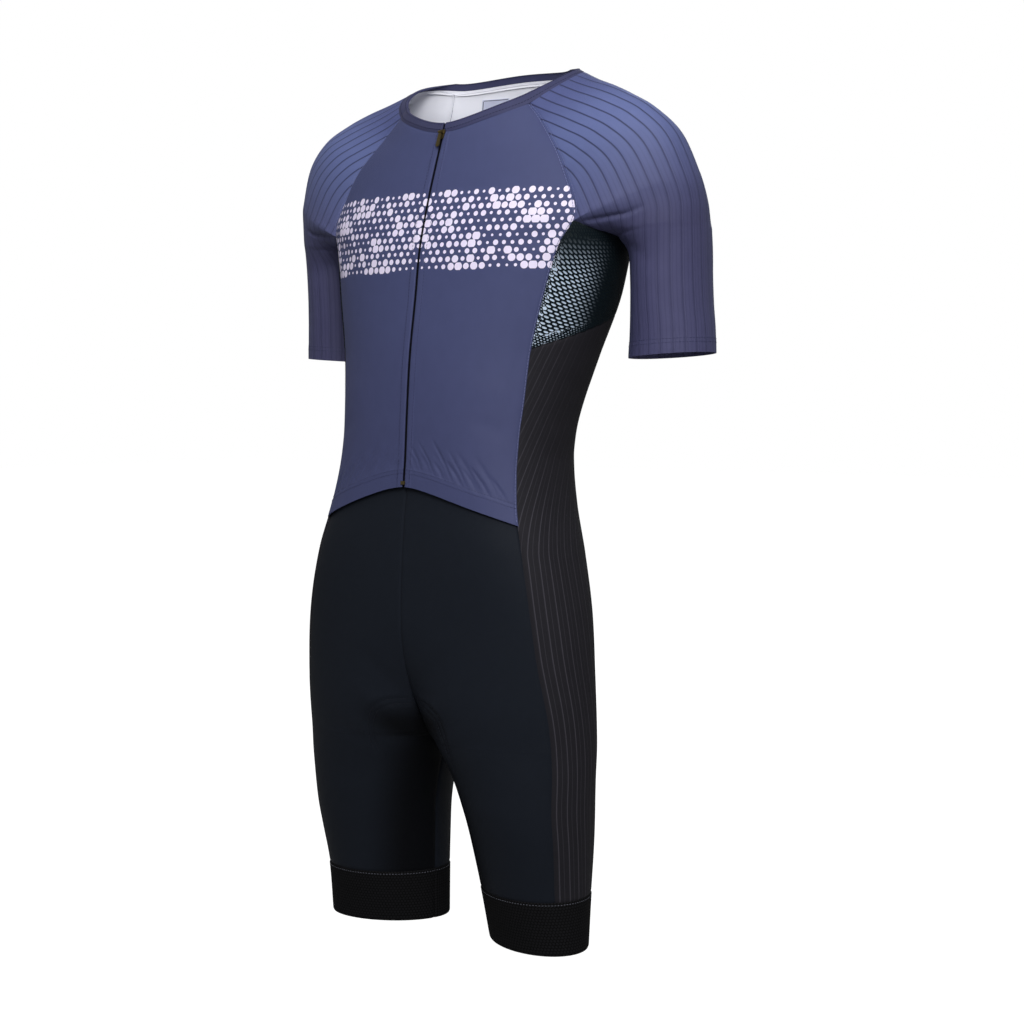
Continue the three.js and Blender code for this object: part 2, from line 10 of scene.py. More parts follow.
import bpy
import numpy as np
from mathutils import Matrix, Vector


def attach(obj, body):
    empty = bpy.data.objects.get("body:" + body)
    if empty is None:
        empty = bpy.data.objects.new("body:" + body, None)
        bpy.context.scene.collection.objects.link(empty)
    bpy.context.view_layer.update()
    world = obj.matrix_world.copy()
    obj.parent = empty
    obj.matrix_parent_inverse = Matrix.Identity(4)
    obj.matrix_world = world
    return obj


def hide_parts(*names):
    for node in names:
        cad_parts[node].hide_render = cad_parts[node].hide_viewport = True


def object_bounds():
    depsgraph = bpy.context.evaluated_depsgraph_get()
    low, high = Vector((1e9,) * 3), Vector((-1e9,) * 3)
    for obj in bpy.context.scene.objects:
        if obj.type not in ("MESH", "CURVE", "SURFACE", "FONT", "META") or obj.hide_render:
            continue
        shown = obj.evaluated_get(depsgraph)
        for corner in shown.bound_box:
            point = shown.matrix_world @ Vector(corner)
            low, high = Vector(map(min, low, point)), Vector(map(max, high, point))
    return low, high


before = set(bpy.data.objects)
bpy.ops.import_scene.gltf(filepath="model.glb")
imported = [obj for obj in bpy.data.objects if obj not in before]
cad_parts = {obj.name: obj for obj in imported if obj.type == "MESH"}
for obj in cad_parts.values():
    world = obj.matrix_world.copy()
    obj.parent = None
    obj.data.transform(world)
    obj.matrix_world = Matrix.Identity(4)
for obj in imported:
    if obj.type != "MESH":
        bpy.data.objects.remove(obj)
cad_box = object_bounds()
MM = 0.001
BODY = "suit"

# %% [markdown]
# The photograph was taken from the wearer's front left, about two metres away and level with the waist. A
# level camera keeps the sides of the legs upright, and a small vertical shift frames the suit,
# as a studio camera does. Its distance is known from how much larger the near sleeve looks.

# %% Camera
CAMERA_TURN = math.radians(36)      # from straight ahead towards the wearer's left
CAMERA_DISTANCE = 2.0
CAMERA_LEVEL = -0.344
CAMERA_ASIDE = 0.0204
FOCAL_PIXELS = 1860
IMAGE_SIZE = 1024
HORIZON_ROW = 400
SENSOR = 36

camera_data = bpy.data.cameras.new("studio_camera")
camera_data.sensor_width = SENSOR
camera_data.lens = SENSOR * FOCAL_PIXELS / IMAGE_SIZE
camera_data.shift_y = (HORIZON_ROW - IMAGE_SIZE / 2) / IMAGE_SIZE
camera = bpy.data.objects.new("studio_camera", camera_data)
bpy.context.scene.collection.objects.link(camera)
across = np.array([math.cos(CAMERA_TURN), math.sin(CAMERA_TURN), 0])
toward = np.array([math.sin(CAMERA_TURN), -math.cos(CAMERA_TURN), 0])
camera.location = CAMERA_DISTANCE * toward + CAMERA_ASIDE * across + np.array([0, 0, CAMERA_LEVEL])
camera.rotation_euler = (math.pi / 2, 0, CAMERA_TURN)
bpy.context.scene.camera = camera
print("lens in millimetres:", round(camera_data.lens, 1))

# %% [markdown]
# Cloth photographed on a ghost form is lit from all round, so that dark knit still shows its shape. Large
# soft lamps do that: a broad key from the front left, a weak fill from the right, one above for the
# shoulders, one behind, and a small one that reaches into the neck. The backdrop and floor are lit brighter
# for the camera than for the cloth, as when a studio lights its paper separately.

# %% Floor and lights
FLOOR_DROP = 0.05


def lamp(name, size, power, place, aim):
    """A square area lamp of a given size in metres, turned towards the point aim."""
    data = bpy.data.lights.new(name, "AREA")
    data.shape = "SQUARE"
    data.size = size
    data.energy = power
    holder = bpy.data.objects.new(name, data)
    bpy.context.scene.collection.objects.link(holder)
    holder.location = place
    looking = np.array(aim) - np.array(place)
    holder.rotation_euler = (
        math.atan2(math.hypot(looking[0], looking[1]), -looking[2]),
        0,
        math.atan2(looking[1], looking[0]) - math.pi / 2,
    )


MIDDLE = (0, -0.03, -0.42)
lamp("key_front_left", 1.4, 62, (1.9, -2.1, 1.3), MIDDLE)
lamp("fill_right", 1.6, 1.5, (-2.2, -1.8, 0.2), MIDDLE)
lamp("top_front", 1.2, 13, (0.3, -0.9, 1.8), MIDDLE)
lamp("rim_back", 1.4, 14, (-1.2, 2.4, 0.6), MIDDLE)
lamp("neck_fill", 0.3, 1.1, (0.45, -0.85, 0.35), (-0.02, 0.05, -0.03))

WHITE = (1, 1, 1, 1)
ROOM_LIGHT = 0.22
world = bpy.data.worlds.new("studio_world")
bpy.context.scene.world = world
world.use_nodes = True
backdrop = world.node_tree.nodes["Background"]
backdrop.inputs["Color"].default_value = WHITE
seen = world.node_tree.nodes.new("ShaderNodeLightPath")
strength = world.node_tree.nodes.new("ShaderNodeMapRange")
strength.inputs["To Min"].default_value = ROOM_LIGHT
world.node_tree.links.new(seen.outputs["Is Camera Ray"], strength.inputs["Value"])
world.node_tree.links.new(strength.outputs["Result"], backdrop.inputs["Strength"])

floor_level = cad_box[0][2] - FLOOR_DROP
FLOOR_HALF = 12
FLOOR_GREY = 0.35
FLOOR_GLOW = 0.95
floor_mesh = bpy.data.meshes.new("floor")
floor_signs = [(-1, -1), (1, -1), (1, 1), (-1, 1)]
floor_corners = [(x * FLOOR_HALF, y * FLOOR_HALF, floor_level) for x, y in floor_signs]
floor_mesh.from_pydata(floor_corners, [], [(0, 1, 2, 3)])
floor = bpy.data.objects.new("floor", floor_mesh)
bpy.context.scene.collection.objects.link(floor)
floor_paint = bpy.data.materials.new("pale_floor")
floor_paint.use_nodes = True
paper = floor_paint.node_tree.nodes["Principled BSDF"]
paper.inputs["Base Color"].default_value = (FLOOR_GREY, FLOOR_GREY, FLOOR_GREY, 1)
paper.inputs["Roughness"].default_value = 0.9
paper.inputs["Specular IOR Level"].default_value = 0.1
paper.inputs["Emission Color"].default_value = WHITE
seen = floor_paint.node_tree.nodes.new("ShaderNodeLightPath")
glow = floor_paint.node_tree.nodes.new("ShaderNodeMath")
glow.operation = "MULTIPLY"
glow.inputs[1].default_value = FLOOR_GLOW
floor_paint.node_tree.links.new(seen.outputs["Is Camera Ray"], glow.inputs[0])
floor_paint.node_tree.links.new(glow.outputs[0], paper.inputs["Emission Strength"])
floor_mesh.materials.append(floor_paint)
bpy.context.scene.view_settings.view_transform = "Standard"
print("floor at", round(floor_level, 3))

# %% [markdown]
# The suit's form is a stack of level sections, as a pattern maker's form is. These are the same sections
# as in the part's own source, in millimetres. A curve through each column gives the section at any height,
# so the panels can be sampled as finely as the creases need.

# %% Sections of the body and the leg


def table(columns, *rows):
    """A table as one array for each named column."""
    return {name: np.array([row[k] for row in rows], float) for k, name in enumerate(columns.split())}


TORSO = table(
    "z mid wide front back boxy_front boxy_back",
    (20, -4, 86, 52, 58, 2, 2.2),
    (2, -5, 100, 60, 62, 2, 2.2),
    (-31, -8, 104, 67, 70, 2, 2.3),
    (-57, -10, 127, 74, 75, 2, 2.3),
    (-95, -14, 166, 83, 84, 2.1, 2.4),
    (-127, -17, 176, 91, 92, 2.2, 2.6),
    (-159, -20, 178, 98, 98, 2.4, 2.7),
    (-190, -23, 171, 103, 102, 2.3, 2.5),
    (-240, -30, 162, 103, 104, 2.2, 2.4),
    (-300, -43, 147, 99, 101, 2.1, 2.2),
    (-364, -57, 132, 90, 94, 2.4, 2.2),
    (-403, -62, 130, 87, 92, 2.6, 2.2),
    (-450, -67, 137, 85, 95, 2.8, 2.2),
    (-500, -74, 152, 81, 98, 2.9, 2.2),
    (-560, -80, 166, 77, 98, 2.6, 2.2),
    (-620, -82, 171, 74, 94, 2.4, 2.2),
    (-690, -79, 172, 71, 86, 2.3, 2.2),
    (-770, -70, 168, 61, 70, 2.2, 2.2),
)
LEG = table(
    "z x y long short turn",
    (-560, 86, -78, 86, 90, 0),
    (-640, 86, -78, 86, 84, 0),
    (-688, 86, -75, 86, 75, 0),
    (-720, 92, -72, 80, 69, -15),
    (-764, 96, -67, 73.5, 64, -25),
    (-800, 96.5, -62, 69.5, 59, -25),
    (-841, 96.5, -57, 65.5, 53, -25),
    (-895, 97.5, -53, 63.5, 45, -25),
)
FRONT_SEAM = table(
    "z turn",
    (-38, 62.5),
    (-57, 66),
    (-95, 68),
    (-159, 70.5),
    (-190, 66.5),
    (-240, 64),
    (-293, 64),
    (-361, 66),
    (-447, 65),
    (-496, 67),
    (-589, 72),
    (-685, 76),
    (-764, 72),
    (-895, 71),
)
BACK_SEAM = table(
    "z turn",
    (-4, 118),
    (-60, 117),
    (-159, 115),
    (-238, 128),
    (-360, 131),
    (-468, 131),
    (-600, 129),
    (-688, 124),
    (-895, 120),
)
FORK_TOP = -560
CROTCH = -688
THIGH_FULL = -800
BAND_TOP = -841
LEG_END = -895
WAIST_SEAM = -468


def hermite(at, value, place):
    """A smooth curve through (at, value), with at rising, read at place."""
    place = np.clip(np.asarray(place, float), at[0], at[-1])
    before = np.r_[0, np.arange(len(at) - 1)]
    after = np.r_[np.arange(1, len(at)), len(at) - 1]
    slope = (value[after] - value[before]) / (at[after] - at[before])
    i = np.clip(np.searchsorted(at, place, side="right") - 1, 0, len(at) - 2)
    span = at[i + 1] - at[i]
    t = (place - at[i]) / span
    bend = t * t * (3 - 2 * t)
    ends = slope[i] * (1 - t) - slope[i + 1] * t
    return value[i] * (1 - bend) + value[i + 1] * bend + span * t * (1 - t) * ends


def smooth(rows, column, z):
    """One column of a table whose rows go down in z."""
    return hermite(-rows["z"], rows[column], -np.asarray(z, float))


def mix(a, b, t):
    return a + (b - a) * t


def smoothstep(low, high, value):
    t = np.clip((value - low) / (high - low), 0, 1)
    return t * t * (3 - 2 * t)


def torso(turn, z):
    """Points of the body's section: turn is in degrees from the centre front, z a height."""
    angle = np.radians(turn)
    ahead = np.cos(angle)
    depth = np.where(ahead > 0, smooth(TORSO, "front", z), smooth(TORSO, "back", z))
    boxy = np.where(ahead > 0, smooth(TORSO, "boxy_front", z), smooth(TORSO, "boxy_back", z))
    wide = smooth(TORSO, "wide", z)
    reach = (np.abs(np.sin(angle) / wide) ** boxy + np.abs(ahead / depth) ** boxy) ** (-1 / boxy)
    return np.stack([reach * np.sin(angle), smooth(TORSO, "mid", z) - reach * ahead, z + 0 * reach], -1)


def leg(turn, z):
    """Points of the left leg's section: turn 0 and 180 both lie on the inseam."""
    around = 2 * np.radians(turn)
    tilt = np.radians(smooth(LEG, "turn", z))
    reach = 1 / np.hypot(
        np.cos(around - tilt) / smooth(LEG, "long", z), np.sin(around - tilt) / smooth(LEG, "short", z)
    )
    x = smooth(LEG, "x", z) - reach * np.cos(around)
    y = smooth(LEG, "y", z) - reach * np.sin(around)
    return np.stack([x, y, z + 0 * reach], -1)


def skin(turn, z):
    """The suit's outer surface, where the body parts into the legs."""
    turn, z = np.broadcast_arrays(np.asarray(turn, float), np.asarray(z, float))
    drop = np.clip((FORK_TOP - z) / (FORK_TOP - CROTCH), 0, 1)
    fork = 1 - np.sqrt(1 - drop * drop)
    soft = smoothstep(0, FORK_TOP - THIGH_FULL, FORK_TOP - z)
    parted = mix(fork, soft, np.sin(np.radians(turn)))[..., None]
    place = mix(torso(turn, z), leg(turn, z), np.where(z[..., None] < FORK_TOP, parted, 0))
    middle = (z >= CROTCH) & (np.abs(np.sin(np.radians(turn))) < 1e-6)
    place[..., 0] = np.where(middle, 0, place[..., 0])
    return place


def front_turn(z):
    return smooth(FRONT_SEAM, "turn", z)


def back_turn(z):
    return smooth(BACK_SEAM, "turn", z)


print("chest is", round(2 * TORSO["wide"][6]), "mm across and the legs end at", LEG_END)

# %% [markdown]
# A raglan sleeve is one piece that runs from the neck to the cuff, and closes under the arm. Its rows are
# arcs of ellipses from the front seam over the shoulder to the back seam. Lower down the two ends meet,
# and the rows are whole rings.

# %% Sections of the sleeve
RAGLAN = table(
    "front back x y z open",
    (-38, -4, 110, 0, -4, 66),
    (-50, -20, 135, -5, -14, 68),
    (-64, -38, 160, -10, -23, 70),
    (-80, -60, 184, -14, -34, 73),
    (-100, -86, 212, -16, -50, 77),
    (-127, -120, 239, -11, -77, 82),
    (-166, -159, 254, -2, -118, 90),
)
UNDERARM = table(
    "front low back back_low x y z open",
    (78.5, -174, 110.5, -166, 257, 5, -143.5, 120),
    (87.5, -178, 104.5, -173, 257, 7, -165, 150),
    (97, -181.5, 97, -181.5, 257, 8, -173.6, 180),
)
TUBE = table(
    "inner low x y z deep",
    (177, -195.5, 257, 9, -195, 49.5),
    (178, -222, 257, 10, -220, 48),
    (177, -250, 258, 11, -247, 47),
    (175, -276, 260, 12, -272, 46),
    (173, -302, 261, 12, -296, 45),
)
CLOSED_DEPTH = 51
RAGLAN_LAST = len(RAGLAN["x"]) - 1
CLOSED_ROW = RAGLAN_LAST + len(UNDERARM["x"])
LAST_ROW = CLOSED_ROW + len(TUBE["x"])
ROWS = np.arange(LAST_ROW + 1.0)
TOP = {axis: np.r_[RAGLAN[axis], UNDERARM[axis], TUBE[axis]] for axis in "xyz"}
ARMHOLE_ROWS = np.arange(RAGLAN_LAST, CLOSED_ROW + 1.0)
ARMHOLE = {
    "front": np.r_[front_turn(RAGLAN["front"][-1]), UNDERARM["front"]],
    "back": np.r_[back_turn(RAGLAN["back"][-1]), UNDERARM["back"]],
    "front_z": np.r_[RAGLAN["front"][-1], UNDERARM["low"]],
    "back_z": np.r_[RAGLAN["back"][-1], UNDERARM["back_low"]],
}
INNER_ROWS = np.arange(CLOSED_ROW, LAST_ROW + 1.0)
join_point = skin(UNDERARM["front"][-1], UNDERARM["low"][-1])
INNER = {
    "x": np.r_[join_point[0], TUBE["inner"]],
    "y": np.r_[join_point[1], TUBE["y"]],
    "z": np.r_[join_point[2], TUBE["low"]],
}


def armhole_point(row, side):
    """A point of the armhole under the arm; row 6 is at the raglan seam and row 9 at its lowest."""
    return skin(hermite(ARMHOLE_ROWS, ARMHOLE[side], row), hermite(ARMHOLE_ROWS, ARMHOLE[side + "_z"], row))


def sleeve_end(row, side):
    """Where a sleeve row starts or ends: on the raglan seam, the armhole or the underarm seam."""
    row = np.asarray(row, float)
    turn_at = front_turn if side == "front" else back_turn
    z = hermite(ROWS[: RAGLAN_LAST + 1], RAGLAN[side], row)
    raglan = skin(turn_at(z), z)
    inner = np.stack([hermite(INNER_ROWS, INNER[axis], row) for axis in "xyz"], -1)
    place = np.where((row <= RAGLAN_LAST)[..., None], raglan, armhole_point(row, side))
    return np.where((row >= CLOSED_ROW)[..., None], inner, place)


under_span = sleeve_end(ARMHOLE_ROWS, "back") - sleeve_end(ARMHOLE_ROWS, "front")
under_width = np.linalg.norm(under_span, axis=-1) / 2
under_open = np.radians(np.r_[RAGLAN["open"][-1], UNDERARM["open"][:-1]])
DEEP = np.r_[under_width[:-1] / np.sin(under_open), CLOSED_DEPTH, TUBE["deep"]]
DEEP_ROWS = np.arange(RAGLAN_LAST, LAST_ROW + 1.0)
OPEN = np.r_[RAGLAN["open"], UNDERARM["open"]]
SQUARING_FROM = 5


def sleeve(rows, spread):
    """Sleeve points: rows from 0 at the neck to the cuff, spread from -1 at the front to 1 at the back."""
    front = sleeve_end(rows, "front")
    back = sleeve_end(rows, "back")
    width = np.linalg.norm(back - front, axis=-1)
    deep = hermite(DEEP_ROWS, DEEP, rows)
    closing = rows > CLOSED_ROW - 1
    opened = np.radians(hermite(ROWS[: CLOSED_ROW + 1], OPEN, rows))
    opened = np.where(closing, math.pi - np.arcsin(np.clip(width / 2 / deep, 0, 1)), opened)
    top = np.stack([hermite(ROWS, TOP[axis], rows) for axis in "xyz"], -1)
    rise = (top - (front + back) / 2) / (1 - np.cos(opened))[:, None]
    unit = (back - front) / np.maximum(width, 1e-6)[:, None]
    squared = smoothstep(SQUARING_FROM, CLOSED_ROW, rows)[:, None]
    unit = mix(unit, np.array([0, 1.0, 0]), squared)
    unit /= np.linalg.norm(unit, axis=-1, keepdims=True)
    half = np.where(closing, deep, width / 2 / np.sin(opened))
    angle = opened[:, None, None] * spread[None, :, None]
    ring = (top - rise)[:, None] + rise[:, None] * np.cos(angle)
    ring = ring + (unit * half[:, None])[:, None] * np.sin(angle)
    # The ends are moved back on the seam by what turning the section took them off it.
    reach = np.abs(spread)[None, :, None] ** 4
    off = np.where((spread < 0)[None, :, None], (front - ring[:, 0])[:, None], (back - ring[:, -1])[:, None])
    return ring + off * reach


print("sleeve rows:", LAST_ROW + 1, "from the neck to the cuff")

# %% [markdown]
# Each panel is a grid of points between two seams. Rows and columns are crowded together near the edges,
# because that is where the cloth rolls into its seam. The row lists are those of the part's source, so
# every panel ends exactly where its neighbour starts. Only the gap over the zip is drawn narrower, because
# the fronts' folded edges nearly meet.

# %% Rows and columns of the panels
MESH_LOW = {"front": -293, "back": -238}
NECK_FRONT = -66
NECK_BACK = 2
HEM_CENTRE = -432
ROW_BEND = 1.6
ZIP_GAP = 1.6
SIDE_ROWS = 6
fork_levels = [FORK_TOP - (FORK_TOP - CROTCH) * math.sin(i / 6 * math.pi / 2) for i in range(1, 7)]
SHORTS_LEVELS = [-497, -528, FORK_TOP, *fork_levels, -703, -727, -756, -785, -813, BAND_TOP]
side_front = np.linspace(MESH_LOW["front"], WAIST_SEAM, SIDE_ROWS + 1)
side_back = np.linspace(MESH_LOW["back"], WAIST_SEAM, SIDE_ROWS + 1)
EDGE_STEPS = np.array([0.7, 1.5, 2.6, 4.2])
ARMHOLE_SPAN = 2 * (CLOSED_ROW - RAGLAN_LAST)


def crowded(length, step):
    """Places from 0 to 1 along a length in millimetres, closer together near both ends."""
    ends = EDGE_STEPS / length
    count = max(2, round((1 - 2 * ends[-1]) * length / step))
    return np.unique(np.r_[0, ends, np.linspace(ends[-1], 1 - ends[-1], count + 1), 1 - ends, 1])


def centre_of(level):
    """The height at the zip of the front's row that ends at level on the side seam."""
    return mix(NECK_FRONT, HEM_CENTRE, (level - FRONT_SEAM["z"][0]) / (WAIST_SEAM - FRONT_SEAM["z"][0]))


def front_points(level, centre, u, first_turn):
    z = mix(centre, level, u**ROW_BEND)
    return skin(mix(first_turn(z), front_turn(level), u), z)


def zip_turn(z):
    """The turn at which the front's folded edge lies beside the zip."""
    return np.degrees(np.arctan(ZIP_GAP / smooth(TORSO, "front", z)))


def front_grid(step=3.0, fine=1.3):
    down = np.unique(np.r_[crowded(430, step), np.linspace(0.84, 0.985, round(62 / fine))])
    level = mix(FRONT_SEAM["z"][0], WAIST_SEAM, down)[:, None]
    return front_points(level, centre_of(level), crowded(165, fine)[None, :], zip_turn)


def back_points(level, u):
    """Points of the back's rows: level is the height at the seams, u runs from -1 to 1 across."""
    centre = mix(NECK_BACK, WAIST_SEAM, (level - BACK_SEAM["z"][0]) / (WAIST_SEAM - BACK_SEAM["z"][0]))
    return skin(180 + u * (180 - back_turn(level)), mix(centre, level, u * u))


def back_grid(step=3.5):
    level = mix(BACK_SEAM["z"][0], WAIST_SEAM, crowded(480, step))[:, None]
    return back_points(level, 2 * crowded(300, step)[None, :] - 1)


def side_grid(step=3.2):
    row = mix(0, SIDE_ROWS + len(SHORTS_LEVELS), crowded(600, step))
    marks = np.arange(SIDE_ROWS + 1 + len(SHORTS_LEVELS))
    front = np.interp(row, marks, np.r_[side_front, SHORTS_LEVELS])[:, None]
    back = np.interp(row, marks, np.r_[side_back, SHORTS_LEVELS])[:, None]
    share = crowded(150, step)[None, :]
    return skin(mix(front_turn(front), back_turn(back), share), mix(front, back, share))


def mesh_grid(down, share):
    """The mesh under the arm: down from the armhole to its lower seam, share from front to back."""
    row = np.where(share < 0.5, RAGLAN_LAST + ARMHOLE_SPAN * share, CLOSED_ROW - ARMHOLE_SPAN * (share - 0.5))
    at_row = {name: hermite(ARMHOLE_ROWS, values, row) for name, values in ARMHOLE.items()}
    top_turn = np.where(share < 0.5, at_row["front"], at_row["back"])
    top_z = np.where(share < 0.5, at_row["front_z"], at_row["back_z"])
    first, last, high_front, high_back = (ARMHOLE[name][0] for name in ("front", "back", "front_z", "back_z"))
    top_share = (top_turn - first) / (last - first)
    spot = mix(top_share, share, down)
    front = mix(high_front, MESH_LOW["front"], down)
    back = mix(high_back, MESH_LOW["back"], down)
    z = mix(front, back, spot) + (top_z - mix(high_front, high_back, top_share)) * (1 - down)
    return skin(mix(front_turn(front), back_turn(back), spot), z)


tucked_level = np.r_[side_front[-2:], SHORTS_LEVELS]
tucked_centre = np.r_[centre_of(side_front[-2:]), -464, -506, -549, SHORTS_LEVELS[3:]]


def shorts_front_grid(step=1.95):
    row = mix(0, len(tucked_level) - 1, crowded(440, step))
    marks = np.arange(len(tucked_level))
    level = np.interp(row, marks, tucked_level)[:, None]
    centre = np.interp(row, marks, tucked_centre)[:, None]
    share = crowded(190, step)[None, :]
    return front_points(level, centre, share, lambda z: 0 * z), row, share


def shorts_back_grid(step=3.5):
    levels = np.r_[WAIST_SEAM, SHORTS_LEVELS]
    level = np.interp(mix(0, len(levels) - 1, crowded(380, step)), np.arange(len(levels)), levels)[:, None]
    return skin(mix(back_turn(level), 180, crowded(170, step)[None, :]), level)


def band_grid(step=3.0):
    level = mix(BAND_TOP, LEG_END, crowded(54, step))[:, None]
    return skin(180 * crowded(380, step)[None, :], level)


print("front panel grid:", front_grid().shape[:2])

# %% [markdown]
# A shell is two copies of a grid, one outside and one inside, joined round the edge. Its outer points can
# be moved along the surface's own direction, which is how every crease, hem fold and seam is shaped here.
# It gets a second material inside, because the jersey's knit is white on its back.

# %% Making shells


def directions(grid):
    """Unit directions out of a grid's surface."""
    down = np.gradient(grid, axis=0)
    along = np.gradient(grid, axis=1)
    normal = np.cross(down, along)
    return normal / np.maximum(np.linalg.norm(normal, axis=-1, keepdims=True), 1e-9)


def run_along(grid, axis):
    """Distance in millimetres along the rows (axis 1) or down the columns (axis 0)."""
    lengths = np.linalg.norm(np.diff(grid, axis=axis), axis=-1)
    shape = list(lengths.shape)
    shape[axis] = 1
    return np.concatenate([np.zeros(shape), np.cumsum(lengths, axis=axis)], axis=axis)


def edge_distances(grid):
    """Distances in millimetres to the four edges: top, bottom, left and right."""
    down = run_along(grid, 0)
    along = run_along(grid, 1)
    return {"top": down, "bottom": down[-1:] - down, "left": along, "right": along[:, -1:] - along}


SEAM_DEPTH = 0.9
SEAM_ROLL = 2.0
SEAM_OVERLAP = 0.35


def seam_dip(grid, sewn):
    """How far the cloth dips where it is sewn to its neighbour."""
    distances = edge_distances(grid)
    return -sum(SEAM_DEPTH * np.exp(-((distances[edge] / SEAM_ROLL) ** 2)) for edge in sewn.split())


def overlapped(grid, sewn, reach=SEAM_OVERLAP):
    """A grid whose sewn edges reach a little past the seam, so that no light shows through."""
    grid = grid.copy()
    for edge, at, inner in (("top", 0, 1), ("bottom", -1, -2)):
        if edge in sewn:
            step = grid[at] - grid[inner]
            grid[at] += step / np.linalg.norm(step, axis=-1, keepdims=True) * reach
    for edge, at, inner in (("left", 0, 1), ("right", -1, -2)):
        if edge in sewn:
            step = grid[:, at] - grid[:, inner]
            grid[:, at] += step / np.linalg.norm(step, axis=-1, keepdims=True) * reach
    return grid


def mirrored(grid):
    """The same grid on the wearer's other side."""
    return grid[:, ::-1] * np.array([-1, 1, 1])


def quads_between(rows, columns, flip=False):
    """The faces of a grid of rows and columns of points."""
    i = np.arange(rows - 1)[:, None] * columns
    j = np.arange(columns - 1)[None, :]
    corner = i + j
    faces = np.stack([corner, corner + columns, corner + columns + 1, corner + 1], -1).reshape(-1, 4)
    return faces[:, ::-1] if flip else faces


def put_in_scene(name, points, faces, materials, cut, inside=None, sharp=50):
    """A mesh object from points and cut coordinates in millimetres, with an optional second material."""
    mesh = bpy.data.meshes.new(name)
    mesh.from_pydata((points.reshape(-1, 3) * MM).tolist(), [], faces)
    for material in materials:
        mesh.materials.append(material)
    if inside is not None:
        mesh.polygons.foreach_set("material_index", inside.astype(np.int32))
    layer = mesh.uv_layers.new(name="cut")
    corners = np.zeros(len(mesh.loops), np.int32)
    mesh.loops.foreach_get("vertex_index", corners)
    coordinates = cut.reshape(-1, 2)[corners] * MM
    layer.data.foreach_set("uv", coordinates.astype(np.float32).ravel())
    mesh.polygons.foreach_set("use_smooth", np.ones(len(mesh.polygons), bool))
    mesh.set_sharp_from_angle(angle=math.radians(sharp))
    mesh.update()
    made = bpy.data.objects.new(name, mesh)
    bpy.context.scene.collection.objects.link(made)
    return made


SHELL = 0.9


def shell(name, grid, cut, lift, outer, inner, thick=SHELL, turned=0, edge="bottom"):
    """A closed cloth wall on a grid, moved out by lift, with its own material inside.

    An edge that is turned in by so many millimetres shows the outer cloth inside too.
    """
    rows, columns = grid.shape[:2]
    count = rows * columns
    normal = directions(grid)
    outside = grid + normal * np.broadcast_to(lift, grid.shape[:2])[..., None]
    points = np.concatenate([outside.reshape(-1, 3), (outside - normal * thick).reshape(-1, 3)])
    faces = [quads_between(rows, columns), quads_between(rows, columns, flip=True) + count]
    index = np.arange(count).reshape(rows, columns)
    for rim in (index[:, 0], index[-1, :], index[::-1, -1], index[0, ::-1]):
        faces.append(np.stack([rim[:-1], rim[:-1] + count, rim[1:] + count, rim[1:]], -1))
    lining = edge_distances(grid)[edge][:-1, :-1].reshape(-1) > turned
    inside = np.concatenate([lining if k == 1 else np.zeros(len(part), bool) for k, part in enumerate(faces)])
    both_cuts = np.concatenate([cut, cut])
    return put_in_scene(name, points, np.concatenate(faces).tolist(), [outer, inner], both_cuts, inside)


def cloth_area(grid):
    """The area of a grid's surface in square metres, and its largest width and length in metres."""
    a = grid[1:, 1:] - grid[:-1, :-1]
    b = grid[1:, :-1] - grid[:-1, 1:]
    area = np.linalg.norm(np.cross(a, b), axis=-1).sum() / 2
    return area * MM * MM, run_along(grid, 1)[:, -1].max() * MM, run_along(grid, 0)[-1].max() * MM


def finish_panel(made, grid, node):
    """Attach a panel to the suit, hide the imported part it stands for and print its size and area."""
    area, width, length = cloth_area(grid)
    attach(made, BODY)
    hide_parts(node)
    area = min(area, width * length)
    print(f"{node}: {width * 1000:.0f} x {length * 1000:.0f} mm, {area * 1e4:.0f} square cm")


def pair(stem, grid, cut, shapes, outer, inner, slot, rests_on, measured=None, **how):
    """The left and the right panel of a pair; shapes holds the relief of each, as on the left side."""
    for hand, shape in zip(("left", "right"), shapes):
        if hand == "right":
            across = (mirrored(grid), cut[:, ::-1], shape[:, ::-1])
            made = shell(f"{stem}_right_cloth", *across, outer, inner, **how)
        else:
            made = shell(f"{stem}_left_cloth", grid, cut, shape, outer, inner, **how)
        finish_panel(made, grid if measured is None else measured, f"{stem}_{hand}")


# %% [markdown]
# Creases are placed one by one. A crease is a short path on a panel with a depth and a width: below zero
# it is a trough, above zero a ridge. It fades out towards both ends. No two are alike, because stretched
# knit creases only where the pull changes direction: above the hem, under the arm and in the groin.

# %% Creases


def crease_lift(grid, creases):
    """How far each point of a grid is moved out by a list of (path, depth, width)."""
    lift = np.zeros(grid.shape[:2])
    for path, depth, width in creases:
        path = np.asarray(path, float)
        total = np.linalg.norm(np.diff(path, axis=0), axis=-1).sum()
        best = np.full(grid.shape[:2], np.inf)
        along = np.zeros(grid.shape[:2])
        travelled = 0
        for start, end in zip(path[:-1], path[1:]):
            step = end - start
            size = np.linalg.norm(step)
            t = np.clip(((grid - start) @ step) / size**2, 0, 1)
            distance = np.linalg.norm(grid - start - t[..., None] * step, axis=-1)
            nearer = distance < best
            best = np.where(nearer, distance, best)
            along = np.where(nearer, (travelled + t * size) / total, along)
            travelled += size
        fade = np.sin(math.pi * np.clip(along, 0.02, 0.98)) ** 0.7
        lift += depth * fade * np.exp(-((best / width) ** 2))
    return lift


def on_body(*places):
    """A path on the body from pairs of turn and height."""
    return [skin(turn, z) for turn, z in places]


print("seam dip is", SEAM_DEPTH, "mm deep")

# %% [markdown]
# Colours in the photograph are given as sRGB values, which Blender wants as linear light. A small helper
# turns one into the other. The light is near white, so a colour read from a well lit place in the photograph
# is close to the cloth's own.

# %% Colour helpers


